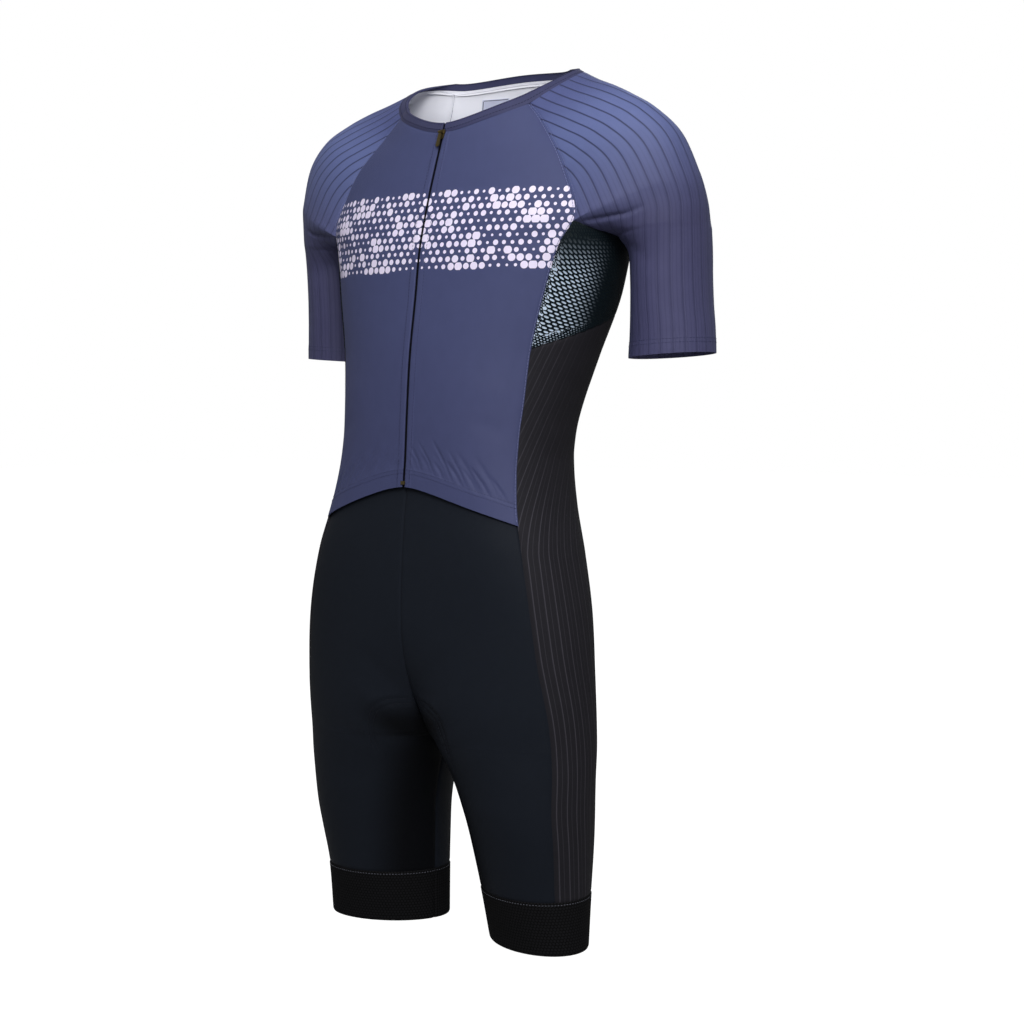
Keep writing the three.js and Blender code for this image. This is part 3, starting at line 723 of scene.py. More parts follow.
def srgb(red, green, blue):
    """A linear colour with full alpha from sRGB values of 0 to 255."""
    linear = []
    for value in (red, green, blue):
        value /= 255
        linear.append(value / 12.92 if value <= 0.04045 else ((value + 0.055) / 1.055) ** 2.4)
    return (*linear, 1)


NAVY = srgb(70, 76, 115)
NAVY_LOW = srgb(68, 73, 110)
# the sleeve's neck colour is painted shade and its top colour a painted highlight on the shoulder cap; its
# low colour is partly the print's darker cuff and partly painted shade
SLEEVE_NECK_SHADE = srgb(80, 88, 136)
SLEEVE_TOP = srgb(98, 109, 158)
SLEEVE_LOW = srgb(76, 76, 112)
RIB_LINE = srgb(40, 42, 72)
COLLAR_NAVY = srgb(62, 64, 98)
LINING_WHITE = srgb(245, 246, 255)
SHORTS_BLACK = srgb(28, 32, 40)
# painted shade: the near black that the shorts are darkened to at the crotch and the inner thighs
CROTCH_SHADE_BLACK = srgb(8, 8, 10)
SIDE_BLACK = srgb(37, 36, 41)
SIDE_LINE = srgb(72, 70, 78)
BAND_BLACK = srgb(9, 9, 10)
DOT_LILAC = srgb(240, 231, 254)
MESH_DARK = srgb(18, 28, 34)
MESH_PALE = srgb(212, 229, 250)
# painted shadow for the mesh backing, at the top of the mesh and near the armpit
MESH_SHADE = srgb(24, 34, 38)
THREAD_NAVY = srgb(44, 47, 78)
THREAD_HEM = srgb(56, 60, 94)
THREAD_COLLAR = srgb(30, 31, 55)
# the pale thread of the raglan stitches, also drawn along the side seam as a painted highlight
THREAD_LIGHT = srgb(118, 124, 164)
THREAD_GREY = srgb(96, 98, 108)
THREAD_DARK = srgb(34, 36, 44)
BRASS = srgb(112, 100, 66)
ZIP_BLACK = srgb(16, 16, 22)
print("navy in linear light:", [round(c, 3) for c in NAVY[:3]])

# %% [markdown]
# Finishes that several cloths share are node groups. The first is the knit itself: rows of tiny stitches
# that make a fine grain. A group of Math nodes makes it from the panel's cut coordinates, which are in
# real metres, so the stitches are the same size on every piece.

# %% Node helpers


class Nodes:
    """Short calls for building a node tree."""

    def __init__(self, tree):
        self.tree = tree

    def add(self, kind, **settings):
        node = self.tree.nodes.new(kind)
        for name, value in settings.items():
            setattr(node, name, value)
        return node

    def join(self, value, socket):
        """Link an output to a socket, or set the socket to a plain value."""
        if isinstance(value, bpy.types.NodeSocket):
            self.tree.links.new(value, socket)
        else:
            socket.default_value = value

    def math(self, operation, a, b=0.0, c=0.0):
        node = self.add("ShaderNodeMath", operation=operation)
        for value, socket in zip((a, b, c), node.inputs):
            self.join(value, socket)
        return node.outputs[0]

    def blend(self, factor, a, b):
        node = self.add("ShaderNodeMix", data_type="RGBA")
        self.join(factor, node.inputs["Factor"])
        self.join(a, node.inputs["A"])
        self.join(b, node.inputs["B"])
        return node.outputs["Result"]

    def ramp(self, value, low, high):
        """A smooth step of a value from 0 at low to 1 at high."""
        node = self.add("ShaderNodeMapRange", interpolation_type="SMOOTHSTEP")
        for name, number in (("Value", value), ("From Min", low), ("From Max", high)):
            self.join(number, node.inputs[name])
        return node.outputs["Result"]


def new_group(name, inputs, outputs):
    """An empty shader node group with named sockets, and its inner helpers."""
    group = bpy.data.node_groups.new(name, "ShaderNodeTree")
    for socket, value in inputs.items():
        made = group.interface.new_socket(socket, in_out="INPUT", socket_type="NodeSocketFloat")
        made.default_value = value
    for socket in outputs:
        group.interface.new_socket(socket, in_out="OUTPUT", socket_type="NodeSocketFloat")
    inner = Nodes(group)
    return group, inner, inner.add("NodeGroupInput").outputs, inner.add("NodeGroupOutput").inputs


def use_group(nodes, group, **values):
    """Place a group in a material and set its sockets."""
    node = nodes.add("ShaderNodeGroup", node_tree=group)
    for name, value in values.items():
        nodes.join(value, node.inputs[name])
    return node.outputs


KNIT_PITCH = 0.0008
KNIT_SOCKETS = {"Across": 0, "Down": 0, "Pitch": KNIT_PITCH, "Unevenness": 0.3}
knit, k, k_in, k_out = new_group("knit_grain", KNIT_SOCKETS, ("Height", "Tone"))
wale = k.math("SINE", k.math("MULTIPLY", k.math("DIVIDE", k_in["Across"], k_in["Pitch"]), math.tau))
course = k.math("SINE", k.math("MULTIPLY", k.math("DIVIDE", k_in["Down"], k_in["Pitch"]), math.tau))
cloud = k.add("ShaderNodeTexNoise", noise_dimensions="2D")
cloud.inputs["Scale"].default_value = 1
cloud.inputs["Detail"].default_value = 3
spot = k.add("ShaderNodeCombineXYZ")
k.join(k.math("MULTIPLY", k_in["Across"], 90.0), spot.inputs["X"])
k.join(k.math("MULTIPLY", k_in["Down"], 60.0), spot.inputs["Y"])
k.join(spot.outputs[0], cloud.inputs["Vector"])
k.join(k.math("ADD", wale, k.math("MULTIPLY", course, 0.6)), k_out["Height"])
cloudy = k.math("SUBTRACT", cloud.outputs[0], 0.5)
k.join(k.math("MULTIPLY_ADD", cloudy, k_in["Unevenness"], 1.0), k_out["Tone"])
print("group:", knit.name)

# %% [markdown]
# Ribbed racing cloth has narrow sunk lines at an even spacing. The same effect, turned light instead of
# dark, is the pinstripe of the side panels. One group serves both: it measures the distance to the nearest
# line of a coordinate and gives a soft mask.

# %% Line and dot groups
ROW_HEIGHT = 0.866                  # of staggered rows, as a share of their pitch
lines, n, n_in, n_out = new_group("even_lines", {"Coordinate": 0, "Spacing": 0.01, "Width": 0.001}, ("Mask",))
cell = n.math("FRACT", n.math("DIVIDE", n_in["Coordinate"], n_in["Spacing"]))
to_line = n.math("MULTIPLY", n.math("ABSOLUTE", n.math("SUBTRACT", cell, 0.5)), n_in["Spacing"])
n.join(n.math("SUBTRACT", 1.0, n.ramp(to_line, 0.0, n_in["Width"])), n_out["Mask"])

# The chest band is a plain scatter of round dots: staggered rows, with a size drawn by lot for each dot.
dots, d, d_in, d_out = new_group("scattered_dots", {"Across": 0, "Height": 0, "Pitch": 0.009, "Least": 0.1,
                                                   "Most": 0.45}, ("Mask",))
row_place = d.math("DIVIDE", d_in["Height"], d.math("MULTIPLY", d_in["Pitch"], ROW_HEIGHT))
row = d.math("FLOOR", row_place)
shifted = d.math("MULTIPLY_ADD", d.math("MODULO", d.math("ABSOLUTE", row), 2.0), 0.5,
                 d.math("DIVIDE", d_in["Across"], d_in["Pitch"]))
column = d.math("FLOOR", shifted)
off_x = d.math("SUBTRACT", d.math("SUBTRACT", shifted, column), 0.5)
off_y = d.math("MULTIPLY", d.math("SUBTRACT", d.math("SUBTRACT", row_place, row), 0.5), ROW_HEIGHT)
place = d.add("ShaderNodeCombineXYZ")
d.join(column, place.inputs["X"])
d.join(row, place.inputs["Y"])
lot = d.add("ShaderNodeTexWhiteNoise", noise_dimensions="2D")
d.join(place.outputs[0], lot.inputs["Vector"])
drawn = d.math("POWER", lot.outputs["Value"], 1.2)
radius = d.math("MULTIPLY_ADD", d.math("SUBTRACT", d_in["Most"], d_in["Least"]), drawn, d_in["Least"])
squares = d.math("ADD", d.math("MULTIPLY", off_x, off_x), d.math("MULTIPLY", off_y, off_y))
from_middle = d.math("SQRT", squares)
d.join(d.math("LESS_THAN", from_middle, radius), d_out["Mask"])
print("groups:", lines.name, dots.name)

# %% [markdown]
# Sports knit is polyester or nylon with elastane. It has a soft sheen at grazing angles, which comes from
# fine fibres, so the navy cloths here use the Principled shader's sheen, and every cloth a fairly low
# roughness.

# %% Cloth materials


def cloth(name, roughness, sheen, gloss=0.2, sheen_tint=WHITE):
    """A new cloth material, its node helpers, its shader and its cut coordinates."""
    material = bpy.data.materials.new(name)
    material.use_nodes = True
    nodes = Nodes(material.node_tree)
    shader = material.node_tree.nodes["Principled BSDF"]
    shader.inputs["Roughness"].default_value = roughness
    shader.inputs["Sheen Weight"].default_value = sheen
    shader.inputs["Sheen Roughness"].default_value = 0.45
    shader.inputs["Sheen Tint"].default_value = sheen_tint
    shader.inputs["Specular IOR Level"].default_value = gloss
    layer = nodes.add("ShaderNodeUVMap", uv_map="cut")
    parts = nodes.add("ShaderNodeSeparateXYZ")
    nodes.join(layer.outputs[0], parts.inputs[0])
    return material, nodes, shader, parts.outputs["X"], parts.outputs["Y"]


def set_bump(nodes, shader, height, distance, strength=1.0):
    bump = nodes.add("ShaderNodeBump")
    bump.inputs["Strength"].default_value = strength
    bump.inputs["Distance"].default_value = distance
    nodes.join(height, bump.inputs["Height"])
    nodes.join(bump.outputs[0], shader.inputs["Normal"])


def toned(nodes, colour, tone):
    """A colour made lighter or darker by a tone near 1."""
    node = nodes.add("ShaderNodeVectorMath", operation="SCALE")
    nodes.join(colour if isinstance(colour, bpy.types.NodeSocket) else colour[:3], node.inputs[0])
    nodes.join(tone, node.inputs["Scale"])
    return node.outputs[0]


def knitted(nodes, u, v, unevenness):
    """The knit's grain at a panel's cut coordinates."""
    return use_group(nodes, knit, Across=u, Down=v, Pitch=KNIT_PITCH, Unevenness=unevenness)


def finish_knit(nodes, shader, colour, grain):
    """Colour a cloth and give it the knit's tone and fine relief."""
    nodes.join(toned(nodes, colour, grain["Tone"]), shader.inputs["Base Color"])
    set_bump(nodes, shader, grain["Height"], 0.00006, 0.5)


def plain_cloth(name, colour, roughness, sheen, gloss=0.2, unevenness=0.12):
    """Plain knit in one colour with its grain."""
    material, nodes, shader, u, v = cloth(name, roughness, sheen, gloss)
    finish_knit(nodes, shader, colour, knitted(nodes, u, v, unevenness))
    return material


DOT_PITCH = 0.0088
DOT_ROWS = (-28, -17)
BAND_LOW, BAND_HIGH = (row * DOT_PITCH * ROW_HEIGHT for row in DOT_ROWS)


def jersey_front():
    """The fronts: navy knit, a little greyer below, with the dotted band across the chest."""
    material, nodes, shader, u, v = cloth("navy_jersey", 0.55, 0.06, 0.18, srgb(150, 160, 215))
    grain = knitted(nodes, u, v, 0.10)
    ground = nodes.blend(nodes.ramp(v, -0.15, -0.42), NAVY, NAVY_LOW)
    marks = use_group(nodes, dots, Across=u, Height=v, Pitch=DOT_PITCH, Least=0.15, Most=0.53)["Mask"]
    below = nodes.math("LESS_THAN", v, BAND_HIGH)
    inside = nodes.math("MULTIPLY", below, nodes.math("GREATER_THAN", v, BAND_LOW))
    finish_knit(nodes, shader, nodes.blend(nodes.math("MULTIPLY", marks, inside), ground, DOT_LILAC), grain)
    return material


def sleeve_rib():
    """The sleeves: ribbed knit with dark sunk lines, lighter over the shoulder than at the cuff, partly from
    a fade in the print and partly as painted light.
    """
    material, nodes, shader, u, v = cloth("ribbed_sleeve", 0.5, 0.08, 0.25, srgb(160, 175, 230))
    grain = knitted(nodes, u, v, 0.10)
    rib = use_group(nodes, lines, Coordinate=u, Spacing=0.0128, Width=0.0016)["Mask"]
    between = nodes.math("ADD", u, 0.0019)
    thin = use_group(nodes, lines, Coordinate=between, Spacing=0.00427, Width=0.0011)["Mask"]
    # Painted light: the colour is darkened by the neck as painted shade, lightened over the shoulder cap as a
    # painted highlight, and darker down the sleeve partly from the print and partly as painted shade.
    low = nodes.ramp(v, 0.10, 0.25)
    top = nodes.blend(nodes.ramp(v, 0.01, 0.09), SLEEVE_NECK_SHADE, SLEEVE_TOP)
    ground = nodes.blend(nodes.math("MULTIPLY", thin, nodes.math("MULTIPLY", low, 0.22)),
                         nodes.blend(low, top, SLEEVE_LOW), RIB_LINE)
    fainter = nodes.math("MULTIPLY", rib, nodes.math("MULTIPLY_ADD", low, -0.5, 0.9))
    colour = nodes.blend(fainter, ground, RIB_LINE)
    nodes.join(toned(nodes, colour, grain["Tone"]), shader.inputs["Base Color"])
    height = nodes.math("SUBTRACT", nodes.math("MULTIPLY", grain["Height"], 0.12), rib)
    set_bump(nodes, shader, height, 0.0004, 0.8)
    return material


def black_shorts():
    """The shorts' fronts: blue black knit, darkened with painted shade over the pad and down the inseam."""
    material, nodes, shader, u, v = cloth("black_shorts_front", 0.5, 0.0, 0.06)
    grain = knitted(nodes, u, v, 0.06)
    # Painted shade: the cloth is darkened over the seat pad and down the inseam, where the crotch lies in
    # shadow.
    crotch_shade = nodes.math("MULTIPLY", nodes.ramp(v, -0.645, -0.675), nodes.ramp(u, 0.084, 0.034))
    colour = nodes.blend(nodes.math("MULTIPLY", crotch_shade, 0.85), SHORTS_BLACK, CROTCH_SHADE_BLACK)
    finish_knit(nodes, shader, colour, grain)
    return material


STRIPE_TURN = -0.50
STRIPE_LEAN = 0.42


def side_stripe():
    """The side panels: black knit with pinstripes that run up the leg and lean back above the hip."""
    material, nodes, shader, u, v = cloth("striped_side", 0.6, 0.0, 0.08)
    grain = knitted(nodes, u, v, 0.12)
    above = nodes.math("MAXIMUM", nodes.math("SUBTRACT", v, STRIPE_TURN), 0.0)
    eased = nodes.math("DIVIDE", nodes.math("MULTIPLY", above, above), nodes.math("ADD", above, 0.03))
    leaning = nodes.math("SUBTRACT", u, nodes.math("MULTIPLY", eased, STRIPE_LEAN))
    bold = use_group(nodes, lines, Coordinate=leaning, Spacing=0.0115, Width=0.0008)["Mask"]
    between = nodes.math("ADD", leaning, 0.0035)
    fine = use_group(nodes, lines, Coordinate=between, Spacing=0.00575, Width=0.0006)["Mask"]
    low = nodes.ramp(v, -0.36, -0.50)
    near_front = nodes.ramp(u, 0.06, 0.02)
    shown = nodes.math("MULTIPLY_ADD", near_front, 0.35, nodes.math("MULTIPLY_ADD", low, 0.42, 0.15))
    strength = nodes.math("MULTIPLY", nodes.math("MAXIMUM", bold, nodes.math("MULTIPLY", fine, 0.45)), shown)
    colour = nodes.blend(strength, SIDE_BLACK, SIDE_LINE)
    nodes.join(toned(nodes, colour, grain["Tone"]), shader.inputs["Base Color"])
    height = nodes.math("SUBTRACT", nodes.math("MULTIPLY", grain["Height"], 0.2), bold)
    set_bump(nodes, shader, height, 0.0003, 0.6)
    return material


def gripper():
    """The leg bands: black elastic with a fine staggered dot texture."""
    material, nodes, shader, u, v = cloth("leg_gripper", 0.7, 0.0, 0.04)
    pips = use_group(nodes, dots, Across=u, Height=v, Pitch=0.0034, Least=0.4, Most=0.42)["Mask"]
    nodes.join(nodes.blend(pips, BAND_BLACK, srgb(27, 27, 29)), shader.inputs["Base Color"])
    set_bump(nodes, shader, pips, 0.0003, 0.9)
    return material


def mesh_backing():
    """What shows through the mesh: pale low down, with painted shade at the top and near the armpit."""
    material, nodes, shader, u, v = cloth("pale_backing", 0.6, 0.0)
    # Painted shade: the backing is darkened at the top of the mesh and towards the back, near the armpit.
    high = nodes.ramp(v, -0.228, -0.180)
    shade = nodes.blend(high, MESH_PALE, MESH_SHADE)
    behind = nodes.ramp(u, 0.034, 0.072)
    nodes.join(nodes.blend(behind, shade, MESH_SHADE), shader.inputs["Base Color"])
    return material


def metal(name, colour):
    """Dull lacquered metal with a slightly uneven gloss."""
    material = bpy.data.materials.new(name)
    material.use_nodes = True
    nodes = Nodes(material.node_tree)
    shader = material.node_tree.nodes["Principled BSDF"]
    shader.inputs["Metallic"].default_value = 0.9
    place = nodes.add("ShaderNodeTexCoord")
    cloud = nodes.add("ShaderNodeTexNoise")
    cloud.inputs["Scale"].default_value = 900
    nodes.join(place.outputs["Object"], cloud.inputs["Vector"])
    nodes.join(nodes.math("MULTIPLY_ADD", cloud.outputs[0], 0.25, 0.22), shader.inputs["Roughness"])
    nodes.join(toned(nodes, colour, nodes.math("MULTIPLY_ADD", cloud.outputs[0], 0.3, 0.85)),
               shader.inputs["Base Color"])
    return material


JERSEY = jersey_front()
JERSEY_PLAIN = plain_cloth("navy_back", NAVY, 0.55, 0.06, 0.18)
SLEEVE = sleeve_rib()
SIDE = side_stripe()
SHORTS_FRONT = black_shorts()
SHORTS = plain_cloth("black_shorts", SHORTS_BLACK, 0.5, 0.0, 0.06, unevenness=0.06)
BLACK_INSIDE = plain_cloth("black_inside", SIDE_BLACK, 0.7, 0.0, 0.1)
WHITE_INSIDE = plain_cloth("white_inside", LINING_WHITE, 0.7, 0.0, unevenness=0.04)
COLLAR = plain_cloth("navy_binding", COLLAR_NAVY, 0.6, 0.03)
BAND = gripper()
MESH_NET = plain_cloth("dark_net", MESH_DARK, 0.6, 0.0, 0.1)
MESH_BACKING = mesh_backing()
THREADS = {
    "navy": plain_cloth("navy_thread", THREAD_NAVY, 0.5, 0.0),
    "hem": plain_cloth("hem_thread", THREAD_HEM, 0.5, 0.0),
    "collar": plain_cloth("collar_thread", THREAD_COLLAR, 0.5, 0.0, 0.1),
    "light": plain_cloth("light_thread", THREAD_LIGHT, 0.5, 0.0),
    "grey": plain_cloth("grey_thread", THREAD_GREY, 0.5, 0.0),
    "grey_dark": plain_cloth("dark_thread", THREAD_DARK, 0.5, 0.0, 0.1),
}
TAPE = plain_cloth("zip_tape_weave", ZIP_BLACK, 0.6, 0.0, 0.1)
LABEL = plain_cloth("label_weave", srgb(205, 209, 232), 0.6, 0.0)
LABEL_LINE = plain_cloth("label_border", srgb(58, 62, 78), 0.6, 0.0)
DULL_BRASS = metal("dull_brass", BRASS)
print("materials:", len(bpy.data.materials))

# %% [markdown]
# The two fronts meet at the zip and hang free at the hem. Along the zip the cloth is folded under, so the
# edge is a little thicker, and the hem is turned up by two centimetres. Small folds fan up from the hem
# where the elastic pulls it in. Both fronts use one list of folds, moved along and made a little shallower
# on the wearer's right.

# %% Fronts
HEM_LIFT = 0.8
HEM_DEPTH = 19
ZIP_FOLD = 7


def cut_of(grid, along_from=0.0):
    """Cut coordinates: distance along each row, and the real height."""
    return np.stack([run_along(grid, 1) - along_from, grid[..., 2]], -1)


# Folds that fan up from the hem's stitching: where they start, how far they rise in millimetres, how far
# they lean towards the zip in degrees, how deep they are and how wide.
HEM_FAN = [
    (6, 13, 5, -0.4, 1.6),
    (11.5, 20, 9, -0.5, 2.2),
    (15, 29, 12, -0.65, 1.8),
    (21.5, 22, 9, -0.8, 2.4),
    (24.5, 35, 14, -0.7, 1.5),
    (30.5, 19, 8, -0.9, 1.9),
    (33.5, 31, 12, -0.6, 2.6),
    (36, 43, 15, -1.0, 1.7),
    (41.5, 27, 11, -1.05, 2.1),
    (44, 38, 12, -0.7, 1.4),
    (48.5, 24, 8, -0.95, 1.8),
    (50.5, 40, 13, -0.9, 2.3),
    (54.5, 30, 10, -1.1, 1.6),
    (59, 42, 12, -0.8, 2.5),
    (61.5, 25, 7, -0.9, 1.5),
]


def hem_fan(shift, scale):
    """The folds above a hem, moved along it by some degrees and made shallower or deeper."""
    folds = []
    for start, rise, lean, depth, width in HEM_FAN:
        start = min(start + shift, 62)
        low = mix(HEM_CENTRE, WAIST_SEAM, (start / 65) ** ROW_BEND) + HEM_DEPTH
        halfway = (start - 0.4 * lean, low + 0.45 * rise)
        folds.append((on_body((start, low - 1), halfway, (start - lean, low + rise)), depth * scale, width))
    return folds


FRONT_CREASES = [
    (on_body((62, -380), (58, -330), (60, -280)), -0.5, 6),
    (on_body((62, -380), (52, -371), (42, -366)), -0.7, 9),
    (on_body((60, -340), (50, -334), (36, -332)), 0.5, 10),
    (on_body((69, -168), (58, -182), (48, -205)), -1.0, 8),
    (on_body((68, -182), (60, -200), (54, -228)), 0.8, 7),
    (on_body((68, -150), (58, -146), (46, -150)), -0.6, 8),
]


def front_lift(grid, creases):
    """The front's relief: seams, the zip fold, the turned hem and the creases."""
    edges = edge_distances(grid)
    hem = HEM_LIFT * smoothstep(60, 0, edges["bottom"])
    turned = 0.35 * smoothstep(HEM_DEPTH + 1.2, HEM_DEPTH - 1.2, edges["bottom"])
    fold = 0.45 * smoothstep(ZIP_FOLD + 1, ZIP_FOLD - 1, edges["left"])
    rounding = -0.5 * np.exp(-((edges["left"] / 0.8) ** 2))
    return hem + turned + fold + rounding + seam_dip(grid, "top right") + crease_lift(grid, creases)


front = overlapped(front_grid(), "top right")
front_shape = front_lift(front, FRONT_CREASES + hem_fan(0, 1))
other_shape = front_lift(front, FRONT_CREASES + hem_fan(2.0, 0.85))
pair("front", front, cut_of(front), (front_shape, other_shape), JERSEY, WHITE_INSIDE, "front",
     ["side", "sleeve"], turned=HEM_DEPTH)

# %% [markdown]
# The back is one plain piece of the same navy knit, down to a seam at the waist. The photograph only shows
# its white inside at the neck. It gets soft folds across the small of the back and towards the armholes,
# as a close suit has when it hangs upright.

# %% Back
BACK_CREASES = [
    (on_body((147, -349), (160, -359), (176, -364), (194, -362), (211, -349)), -1.7, 6.5),
    (on_body((155, -388), (172, -381), (186, -383), (202, -391)), 1.4, 7),
    (on_body((145, -415), (160, -424), (180, -421)), -1.6, 5.5),
    (on_body((214, -402), (201, -412), (190, -413)), -1.3, 5),
    (on_body((152, -330), (166, -338), (178, -339)), -1.0, 5),
    (on_body((210, -318), (200, -326), (186, -328)), -0.8, 6),
    (on_body((120, -172), (134, -190), (146, -214)), -1.8, 6.5),
    (on_body((240, -172), (227, -188), (216, -210)), -1.5, 6),
    (on_body((124, -196), (135, -216), (141, -242)), -1.1, 5),
    (on_body((118, -150), (136, -158), (156, -160)), 1.2, 7),
    (on_body((242, -148), (226, -160), (206, -164)), 1.1, 8),
]
back = overlapped(back_grid(), "top bottom left right")
back_shape = seam_dip(back, "top bottom left right") + crease_lift(back, BACK_CREASES)
back_cut = cut_of(back, run_along(back, 1)[:, -1:] / 2)
back_cloth = shell("back_cloth", back, back_cut, back_shape, JERSEY_PLAIN, WHITE_INSIDE)
finish_panel(back_cloth, back, "back")

# %% [markdown]
# The sleeves are ribbed. The ribs run straight along the cloth, so they meet the raglan seam one after
# another instead of narrowing with it. That is why the cut coordinate is measured from the top of the
# shoulder in real millimetres along each row.

# %% Sleeves
SLEEVE_HEM = 15
sleeve_rows = np.unique(np.r_[np.linspace(0, RAGLAN_LAST, 49), np.linspace(RAGLAN_LAST, CLOSED_ROW, 31),
                              np.linspace(CLOSED_ROW, LAST_ROW, 41)])
sleeve_spread = 2 * crowded(290, 3.0) - 1
sleeve_grid = sleeve(sleeve_rows, sleeve_spread)
sleeve_along = run_along(sleeve_grid, 1)
top_column = np.argmin(np.abs(sleeve_spread))
sleeve_cut = np.stack([sleeve_along - sleeve_along[:, top_column : top_column + 1],
                       np.broadcast_to(run_along(sleeve_grid, 0)[:, top_column : top_column + 1],
                                       sleeve_along.shape)], -1)


def on_sleeve(*places):
    """A path on the sleeve from pairs of row and spread."""
    return [sleeve(np.array([float(row)]), np.array([-1, float(spread), 1]))[0, 1] for row, spread in places]


SLEEVE_CREASES = [
    (on_sleeve((6.2, -1), (6.6, -0.86), (6.9, -0.7), (6.8, -0.56)), -3.2, 2.6),
    (on_sleeve((5.9, -1), (6.1, -0.84), (6.3, -0.7), (6.3, -0.55)), 0.8, 5),
    (on_sleeve((7.4, -0.9), (7.8, -0.72), (8.0, -0.52)), 0.9, 6),
    (on_sleeve((9.3, -0.8), (9.9, -0.6), (10.6, -0.46)), -0.9, 7),
    (on_sleeve((6.7, 0.97), (7.0, 0.76), (6.8, 0.5)), -2.0, 6),
    (on_sleeve((7.8, 0.88), (8.2, 0.66), (8.0, 0.46)), 1.1, 6),
    (on_sleeve((9.6, 0.82), (10.2, 0.6), (10.9, 0.5)), -0.8, 7),
    (on_sleeve((11.2, -0.3), (12.0, -0.36), (12.8, -0.3)), -0.6, 8),
    (on_sleeve((5.0, -0.6), (5.8, -0.5), (6.5, -0.3)), 0.7, 10),
]


def sleeve_lift(grid, creases):
    edges = edge_distances(grid)
    turned = 0.3 * smoothstep(SLEEVE_HEM + 1, SLEEVE_HEM - 1, edges["bottom"])
    return turned + seam_dip(grid, "top left right") + crease_lift(grid, creases)


sleeve_shape = sleeve_lift(sleeve_grid, SLEEVE_CREASES)
sleeve_sewn = overlapped(sleeve_grid, "top left right")
pair("sleeve", sleeve_sewn, sleeve_cut, (sleeve_shape, sleeve_shape), SLEEVE, WHITE_INSIDE, "sleeve",
     ["front", "back"], measured=sleeve_grid, turned=SLEEVE_HEM)

# %% [markdown]
# The side panels and the shorts are dense black knit that fits without slack. Only a few shallow folds
# show: some across the groin, and long soft ones down the side of the thigh. The edge of the seat pad is
# pressed into the front as a double arch. It is drawn flat, as heights for distances from the centre seam,
# and each of its points is then found on the cloth.

# %% Side panels and shorts
SIDE_CREASES = [
    (on_body((70, -316), (88, -330), (108, -334)), -0.8, 9),
    (on_body((68, -372), (84, -380), (104, -376)), 0.7, 9),
    (on_body((72, -398), (92, -404), (116, -396)), -0.8, 8),
    (on_body((78, -640), (84, -690), (86, -740)), -0.7, 10),
    (on_body((96, -600), (98, -660), (95, -730)), 0.6, 12),
]
ARCH = table("x z", (0, -648), (16, -648.5), (30, -651), (41, -658), (48, -671), (51, -688), (50, -706))


def on_front(x, z):
    """Points of the shorts' front at given distances from the centre and heights, and their directions."""
    turns = np.linspace(0, 80, 400)
    places = []
    outs = []
    for one_x, one_z in zip(x, z):
        line = skin(turns, np.full(turns.shape, one_z))
        turn = np.interp(one_x, line[:, 0], turns)
        near = skin(np.array([[turn - 0.5, turn + 0.5]] * 2), np.array([[one_z + 1] * 2, [one_z - 1] * 2]))
        out = np.cross(near[1, 0] - near[0, 0], near[0, 1] - near[0, 0])
        out /= np.linalg.norm(out)
        places.append(skin(turn, one_z) + out * 0.25)
        outs.append(out)
    return np.array(places), np.array(outs)


arch_at = np.linspace(0, 1, 60)
arch_run = np.r_[0, np.cumsum(np.hypot(np.diff(ARCH["x"]), np.diff(ARCH["z"])))]
arch_x = hermite(arch_run / arch_run[-1], ARCH["x"], arch_at)
arch_z = hermite(arch_run / arch_run[-1], ARCH["z"], arch_at)
pad_paths = {scale: on_front(arch_x * scale, arch_z + drop) for scale, drop in ((1.0, 0), (0.91, -5))}
SHORTS_FRONT_CREASES = [
    (pad_paths[1.0][0], -0.9, 2.0),
    (pad_paths[0.91][0], -0.9, 2.0),
    (on_front(arch_x * 1.09, arch_z + 5)[0], 0.5, 3.5),
    (on_body((10, -640), (22, -622), (38, -596)), -0.8, 9),
    (on_body((14, -668), (28, -652), (46, -628)), 0.7, 9),
    (on_body((24, -700), (38, -690), (56, -672)), -0.7, 9),
    (on_body((30, -742), (44, -752), (58, -750)), 0.5, 10),
]
SHORTS_BACK_CREASES = [
    (on_body((172, -600), (158, -640), (140, -664)), -1.9, 7),
    (on_body((176, -650), (162, -676), (144, -690)), -1.7, 6),
    (on_body((170, -690), (156, -708), (138, -714)), 1.3, 7),
    (on_body((170, -520), (158, -540), (146, -572)), -1.1, 8),
]
TUCK_CENTRE = 3.8
TUCK_SIDE = 1.8
FORK_SOFT = 20
FORK_REACH = 10


def softened_fork(grid, share):
    """The shorts' front with the bend at the crotch's height eased, but for the seam in the middle."""
    kernel = np.hanning(2 * FORK_REACH + 1)
    padded = np.pad(grid, ((FORK_REACH, FORK_REACH), (0, 0), (0, 0)), mode="edge")
    even = sum(weight * padded[i : i + len(grid)] for i, weight in enumerate(kernel / kernel.sum()))
    near = np.exp(-(((grid[..., 2] - CROTCH) / FORK_SOFT) ** 2)) * smoothstep(0.01, 0.12, share)
    return mix(grid, even, near[..., None])


